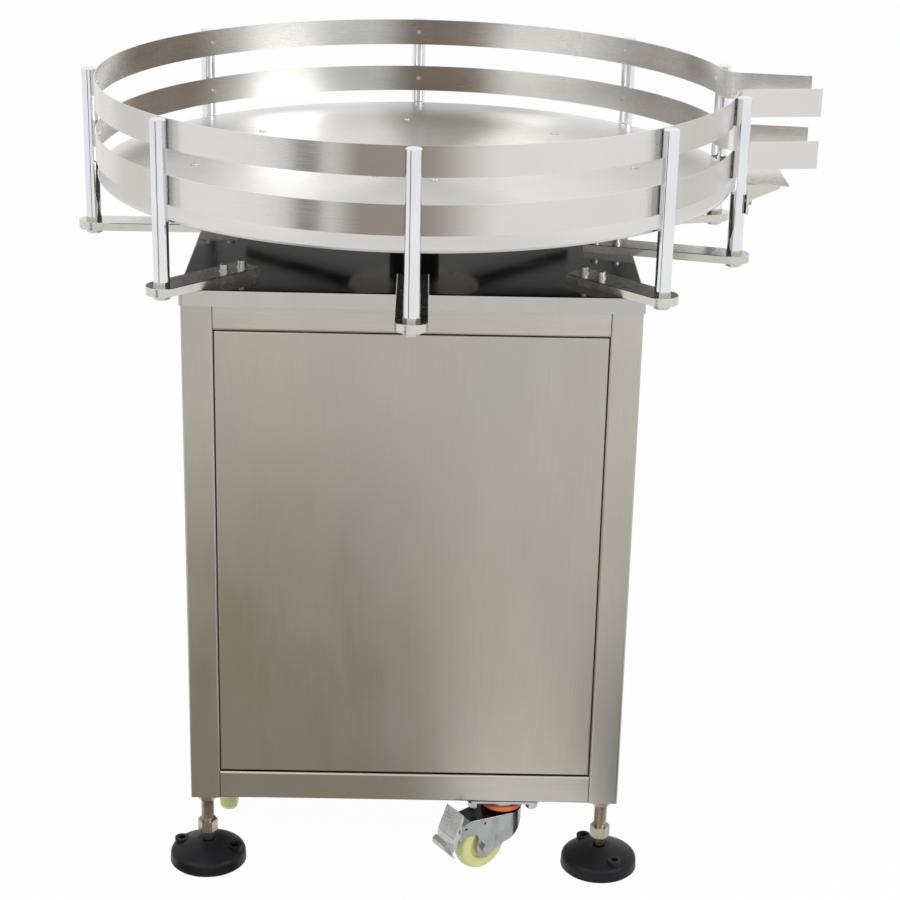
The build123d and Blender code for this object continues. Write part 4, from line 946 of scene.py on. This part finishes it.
@dataclass
class Table:
    """Turning disc with its drive, and the guide bands, posts and arms round it."""

    wardrobe: Wardrobe
    finishes: dict[str, Finish] = field(
        default_factory=lambda: {
            "turntable_disc": DISC,
            "disc_spider": SHADED_SPIDER,
            "disc_screws": SCREW,
            "spindle": MACHINED,
            "bearing_housing": SHADED_SPIDER,
            "spindle_bearings": SCREW,
            "gearbox": CASTING,
            "motor": MOTOR,
            "motor_fan_cover": MOTOR,
            "guide_arms": ARM,
            "deck_screws": SCREW,
            "guide_posts": CHROME,
            "post_jam_nuts": SCREW,
            "post_bolts": SCREW,
            "upper_guide_band": BAND,
            "lower_guide_band": BAND,
            "band_screws": SCREW,
            "transfer_plate": ARM,
            "transfer_brackets": ARM,
            "transfer_screws": SCREW,
        }
    )

    def build(self) -> None:
        """Dress the nodes."""
        self.wardrobe.nodes(self.finishes)


@dataclass
class LevellingFeet:
    """Four feet: the moulded bases stay, and each stud gets its real thread and chamfered hexagon."""

    wardrobe: Wardrobe
    count: int = 4
    thread_radius: float = 7.98 * MM
    root_radius: float = 7.0 * MM
    pitch: float = 2.0 * MM
    ridge_width: float = 0.84
    crest_width: float = 0.16
    ridge_sunk: float = 0.3 * MM
    steps_per_turn: int = 28
    stud_top: float = 136.0 * MM
    plain_turns: float = 2.0
    core_sunk: float = 0.5 * MM
    point_length: float = 1.5 * MM
    point_taper: float = 1.2 * MM
    hex_bottom: float = 43.0 * MM
    hex_top: float = 59.0 * MM
    hex_flats: float = 22.0 * MM
    corner_slope: float = 0.55
    corner_start: float = 0.2 * MM
    cone_bottom: float = 30.6 * MM
    cone_radii: tuple[float, float] = (7.4 * MM, 8.6 * MM)
    cone_edge: float = 0.4 * MM
    cone_sunk: float = 0.2 * MM
    neck_radius: float = 5.5 * MM
    ball_radius: float = 8.0 * MM
    ball_height: float = 19.0 * MM
    ball_steps: int = 10

    def thread(self) -> bpy.types.Object:
        """Model the threaded shank: a core with a helical ridge swept round it.

        Returns:
            The shank, with its axis on the world's Z axis.
        """
        clear_selection()
        root, crest = self.root_radius, self.thread_radius
        middle = (root + crest) / 2
        low = self.hex_top + self.pitch
        bpy.ops.mesh.primitive_plane_add(size=1.0, location=(middle, 0, low), rotation=(pi / 2, 0, 0))
        ridge = bpy.context.object
        ridge.scale = (crest - root + self.ridge_sunk, self.pitch * self.ridge_width, 1.0)
        apply_place(ridge)
        with editing(ridge, Part.EDGE):
            pick(ridge, Part.EDGE, lambda e: min(v.co.x for v in e.verts) > middle)
            bpy.ops.transform.resize(value=(1, 1, self.crest_width), center_override=(crest, 0, low))
            pick(ridge, Part.VERT, lambda v: v.co.x > middle)
            bpy.ops.transform.translate(value=(-self.ridge_sunk / 2, 0, 0))
        turns = (self.stud_top - low) / self.pitch - self.plain_turns
        steps = int(self.steps_per_turn * turns)
        add_modifier(
            ridge,
            "SCREW",
            angle=2 * pi * turns,
            screw_offset=self.pitch * turns,
            steps=steps,
            render_steps=steps,
            axis="Z",
            use_normal_calculate=True,
        )
        with editing(ridge, Part.EDGE):
            bpy.ops.mesh.select_all(action="SELECT")
            bpy.ops.mesh.remove_doubles(threshold=NEAR)
            bpy.ops.mesh.normals_make_consistent(inside=False)
        profile = [
            (root, self.hex_top - self.core_sunk),
            (root, self.stud_top - self.point_length),
            (root - self.point_taper, self.stud_top),
        ]
        core = turned("stud_core", profile)
        return join([core, ridge], "stud_shank")

    def hexagon(self) -> bpy.types.Object:
        """Model the spanner hexagon with its corners turned down.

        Returns:
            The hexagon, with its axis on the world's Z axis.
        """
        clear_selection()
        corner = self.hex_flats / 2 / cos(pi / 6)
        depth = self.hex_top - self.hex_bottom
        bpy.ops.mesh.primitive_cylinder_add(
            vertices=6, radius=corner, depth=depth, location=(0, 0, (self.hex_top + self.hex_bottom) / 2)
        )
        block = bpy.context.object
        block.rotation_euler.z = pi / 6
        apply_place(block)
        with editing(block, Part.EDGE):
            bpy.ops.mesh.select_all(action="SELECT")
            bpy.ops.mesh.subdivide(number_cuts=5)
        top, bottom = self.hex_top, self.hex_bottom
        start = self.hex_flats / 2 - self.corner_start
        for vertex in block.data.vertices:
            reach = hypot(vertex.co.x, vertex.co.y)
            drop = max(0.0, reach - start) * self.corner_slope
            if abs(vertex.co.z - top) < NEAR:
                vertex.co.z -= drop
            elif abs(vertex.co.z - bottom) < NEAR:
                vertex.co.z += drop
        return block

    def ball_end(self) -> bpy.types.Object:
        """Model the cone under the hexagon, the neck and the ball.

        Returns:
            The ball end, with its axis on the world's Z axis.
        """
        steps, ball = self.ball_steps, self.ball_radius
        profile = []
        neck_angle = pi / 2 - atan2(self.neck_radius, (ball**2 - self.neck_radius**2) ** 0.5)
        for step in range(1, steps + 1):
            angle = -pi / 2 + (neck_angle + pi / 2) * step / steps
            profile.append((ball * cos(angle), self.ball_height + ball * sin(angle)))
        profile += [
            (self.neck_radius, self.cone_bottom),
            (self.cone_radii[0] - self.cone_edge, self.cone_bottom),
            (self.cone_radii[0], self.cone_bottom + self.cone_edge),
            (self.cone_radii[1], self.hex_bottom + self.cone_sunk),
        ]
        return turned("stud_ball", profile, sides=40)

    def build(self) -> None:
        """Dress the bases and put a modelled stud in the place of each CAD stud."""
        self.wardrobe.node("foot_inserts", HEX)
        shank, block, ball = self.thread(), self.hexagon(), self.ball_end()
        for number in range(1, self.count + 1):
            self.wardrobe.node(f"foot_base_{number}", BLACK)
            low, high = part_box(f"foot_stud_{number}")
            place = Matrix.Translation(((low.x + high.x) / 2, (low.y + high.y) / 2, 0))
            screw = copy_of(shank, place)
            screw.name = f"stud_thread_{number}"
            self.wardrobe.piece(screw, f"stud_{number}", STUD, "zinc_steel")
            collar = join([copy_of(block, place), copy_of(ball, place)], f"stud_hexagon_{number}")
            self.wardrobe.piece(collar, f"stud_{number}", HEX, "zinc_steel")
            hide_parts(f"foot_stud_{number}")
        for pattern in (shank, block, ball):
            remove(pattern)


@dataclass
class Casters:
    """Four braked swivel casters."""

    wardrobe: Wardrobe
    count: int = 4

    def build(self) -> None:
        """Dress the nodes."""
        self.wardrobe.node("caster_plates", ZINC)
        self.wardrobe.node("caster_bolts", ZINC)
        self.wardrobe.node("caster_seals", SEAL)
        for number in range(1, self.count + 1):
            self.wardrobe.node(f"caster_fork_{number}", FORK)
            self.wardrobe.node(f"caster_wheel_{number}", WHEEL)
            self.wardrobe.node(f"brake_pedal_{number}", ZINC)


@dataclass
class Controls:
    """Speed controller on the left panel, its dial scale, and the cable gland."""

    wardrobe: Wardrobe
    tick_count: int = 11
    tick_sweep: float = 270.0
    tick_radius: float = 17.5 * MM
    tick_length: float = 3.2 * MM
    tick_width: float = 0.8 * MM
    tick_rise: float = 0.25 * MM
    tick_bevel: float = 0.1 * MM

    def dial_scale(self) -> None:
        """Model the raised ticks round the speed knob."""
        low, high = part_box("speed_knob")
        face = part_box("controller")[0].x
        centre = Vector((face, (low.y + high.y) / 2, (low.z + high.z) / 2))
        clear_selection()
        bpy.ops.mesh.primitive_cube_add(size=1.0)
        pattern = bpy.context.object
        pattern.scale = (self.tick_rise, self.tick_width, self.tick_length)
        apply_place(pattern)
        round_edges(pattern, self.tick_bevel, lambda e: all(v.co.x < 0 for v in e.verts))
        ticks = []
        for number in range(self.tick_count):
            share = number / (self.tick_count - 1)
            angle = radians(self.tick_sweep * (share - 0.5))
            turn = Matrix.Rotation(angle, 4, "X")
            lift = Matrix.Translation((0, 0, self.tick_radius))
            ticks.append(copy_of(pattern, Matrix.Translation(centre) @ turn @ lift))
        remove(pattern)
        self.wardrobe.piece(join(ticks, "dial_scale"), "cabinet", SCALE, "black_nylon")

    def build(self) -> None:
        """Dress the nodes and add the dial's scale."""
        for node in ("controller", "speed_knob", "power_rocker", "cable_gland"):
            self.wardrobe.node(node, CONTROL)
        self.dial_scale()


@dataclass(frozen=True)
class Card:
    """Flat card that only reflections see: its middle, the point it faces, its two sides and its colour."""

    name: str
    place: Place
    target: Place
    size: tuple[float, float]
    colour: Colour


@dataclass(frozen=True)
class Lamp:
    """Soft rectangular lamp: where it stands, its width and height, and its power in watts."""

    name: str
    place: Place
    size: tuple[float, float]
    power: float


@dataclass
class Studio:
    """Pale floor, soft lamps, cards for the metal to reflect, and the camera."""

    camera_place: Place = (-0.023045, -2.742963, 1.513047)
    yaw: float = 0.014
    pitch: float = 0.361
    roll: float = 0.023
    focal_pixels: float = 2197.508
    image_pixels: float = 900.0
    sensor: float = 36.0
    floor_size: float = 24.0
    floor_colour: Colour = (0.86, 0.86, 0.86)
    room_light: float = 0.62
    floor_glow: float = 0.97
    lamp_target: Place = (0.0, 0.0, 0.5)
    lamps: tuple[Lamp, ...] = (
        Lamp("key", (-2.2, -2.6, 3.2), (2.0, 1.6), 50.0),
        Lamp("fill", (2.8, -2.0, 2.4), (1.6, 2.0), 40.0),
        Lamp("back", (0.4, 3.0, 3.6), (3.0, 1.2), 14.0),
    )
    cards: tuple[Card, ...] = (
        Card("post_card", (-1.086, -1.62, 0.8), (-0.036, -0.411, 0.8), (0.3, 1.5), (0.02, 0.02, 0.02)),
        Card("near_card", (-0.365, -0.515, 0.004), (-0.365, -0.515, 1.0), (0.77, 0.47), (0.36, 0.33, 0.29)),
        Card("left_card", (-0.40, -1.05, 0.006), (-0.40, -1.05, 1.0), (0.86, 0.62), (0.30, 0.255, 0.195)),
        Card("far_card", (-0.235, -1.61, 0.006), (-0.235, -1.61, 1.0), (0.37, 0.50), (0.42, 0.31, 0.18)),
        Card("corner_card", (0.43, -0.62, 0.004), (0.43, -0.62, 1.0), (0.39, 0.48), (0.04, 0.038, 0.03)),
        Card("right_card", (0.52, -1.10, 0.006), (0.52, -1.10, 1.0), (0.46, 0.46), (0.60, 0.57, 0.50)),
    )

    def camera(self) -> None:
        """Set the camera where the photograph was taken from."""
        forward = Vector((sin(self.yaw) * cos(self.pitch), cos(self.yaw) * cos(self.pitch), -sin(self.pitch)))
        right = Vector((cos(self.yaw), -sin(self.yaw), 0.0))
        up = right.cross(forward)
        across = right * cos(self.roll) + up * sin(self.roll)
        upright = up * cos(self.roll) - right * sin(self.roll)
        data = bpy.data.cameras.new("camera")
        data.sensor_fit = "HORIZONTAL"
        data.sensor_width = self.sensor
        data.lens = self.sensor * self.focal_pixels / self.image_pixels
        data.clip_end = 100.0
        camera = bpy.data.objects.new("camera", data)
        turn = Matrix((across, upright, -forward)).transposed().to_4x4()
        camera.matrix_world = Matrix.Translation(self.camera_place) @ turn
        bpy.context.scene.collection.objects.link(camera)
        bpy.context.scene.camera = camera

    def hang(self, lamp: Lamp) -> None:
        """Hang up one lamp.

        Args:
            lamp: the lamp to make.
        """
        data = bpy.data.lights.new(lamp.name, "AREA")
        data.shape = "RECTANGLE"
        data.size, data.size_y = lamp.size
        data.energy = lamp.power
        light = bpy.data.objects.new(lamp.name, data)
        light.location = lamp.place
        way = Vector(self.lamp_target) - Vector(lamp.place)
        light.rotation_euler = way.to_track_quat("-Z", "Y").to_euler()
        bpy.context.scene.collection.objects.link(light)

    def stand(self, card: Card) -> None:
        """Stand up one card.

        Args:
            card: the card to make.
        """
        clear_selection()
        bpy.ops.mesh.primitive_plane_add(size=1.0)
        plane = bpy.context.object
        plane.name = card.name
        plane.scale = (card.size[0], card.size[1], 1.0)
        way = Vector(card.target) - Vector(card.place)
        plane.rotation_euler = way.to_track_quat("-Z", "Y").to_euler()
        plane.location = card.place
        apply_place(plane)
        material = bpy.data.materials.new(card.name)
        material.use_nodes = True
        tree = material.node_tree
        tree.nodes.clear()
        glow = tree.nodes.new("ShaderNodeEmission")
        glow.inputs["Color"].default_value = (*card.colour, 1.0)
        output = tree.nodes.new("ShaderNodeOutputMaterial")
        tree.links.new(glow.outputs["Emission"], output.inputs["Surface"])
        plane.data.materials.append(material)
        plane.visible_camera = False
        plane.visible_diffuse = False
        plane.visible_shadow = False
        plane.visible_transmission = False

    def sharp_rays(self, tree: bpy.types.NodeTree) -> Socket:
        """Give a factor that is 1 where the camera, a reflection or clear glass looks.

        Args:
            tree: the nodes of the floor's or the world's finish.

        Returns:
            The factor.
        """
        rays = tree.nodes.new("ShaderNodeLightPath")
        factor = rays.outputs["Is Camera Ray"]
        for name in ("Is Glossy Ray", "Is Transmission Ray"):
            either = tree.nodes.new("ShaderNodeMath")
            either.operation = "MAXIMUM"
            tree.links.new(factor, either.inputs[0])
            tree.links.new(rays.outputs[name], either.inputs[1])
            factor = either.outputs[0]
        return factor

    def floor(self) -> None:
        """Lay the pale floor, which looks white to the camera and keeps the object's shadow."""
        clear_selection()
        bpy.ops.mesh.primitive_plane_add(size=self.floor_size)
        floor = bpy.context.object
        floor.name = "floor"
        material = bpy.data.materials.new("floor")
        material.use_nodes = True
        tree = material.node_tree
        surface = tree.nodes["Principled BSDF"]
        surface.inputs["Base Color"].default_value = (*self.floor_colour, 1.0)
        surface.inputs["Roughness"].default_value = 0.9
        glow = tree.nodes.new("ShaderNodeEmission")
        glow.inputs["Color"].default_value = (1.0, 1.0, 1.0, 1.0)
        seen = tree.nodes.new("ShaderNodeMath")
        seen.operation = "MULTIPLY"
        seen.inputs[1].default_value = self.floor_glow
        tree.links.new(self.sharp_rays(tree), seen.inputs[0])
        mix = tree.nodes.new("ShaderNodeMixShader")
        tree.links.new(seen.outputs[0], mix.inputs["Fac"])
        tree.links.new(surface.outputs["BSDF"], mix.inputs[1])
        tree.links.new(glow.outputs["Emission"], mix.inputs[2])
        tree.links.new(mix.outputs["Shader"], tree.nodes["Material Output"].inputs["Surface"])
        floor.data.materials.append(material)

    def world(self) -> None:
        """Light the room softly from all round, white where the camera and the metal see it."""
        world = bpy.data.worlds.new("room")
        bpy.context.scene.world = world
        world.use_nodes = True
        tree = world.node_tree
        room = tree.nodes["Background"]
        room.inputs["Color"].default_value = (1.0, 0.99, 0.97, 1.0)
        room.inputs["Strength"].default_value = self.room_light
        white = tree.nodes.new("ShaderNodeBackground")
        white.inputs["Color"].default_value = (1.0, 1.0, 1.0, 1.0)
        mix = tree.nodes.new("ShaderNodeMixShader")
        tree.links.new(self.sharp_rays(tree), mix.inputs["Fac"])
        tree.links.new(room.outputs["Background"], mix.inputs[1])
        tree.links.new(white.outputs["Background"], mix.inputs[2])
        tree.links.new(mix.outputs["Shader"], tree.nodes["World Output"].inputs["Surface"])

    def build(self) -> None:
        """Set up the camera, the room and the lights."""
        self.camera()
        self.floor()
        self.world()
        for lamp in self.lamps:
            self.hang(lamp)
        for card in self.cards:
            self.stand(card)
        bpy.context.scene.view_settings.view_transform = "Standard"
        log.info("studio is ready")


def main() -> None:
    """Build every sub-assembly in order."""
    logging.basicConfig(level=logging.INFO, format="%(name)s: %(message)s")
    wardrobe = Wardrobe()
    Studio().build()
    for kind in (Cabinet, Table, LevellingFeet, Casters, Controls):
        kind(wardrobe).build()
        log.info("%s is built", kind.__name__)
    bpy.context.view_layer.update()


if __name__ == "__main__":
    main()
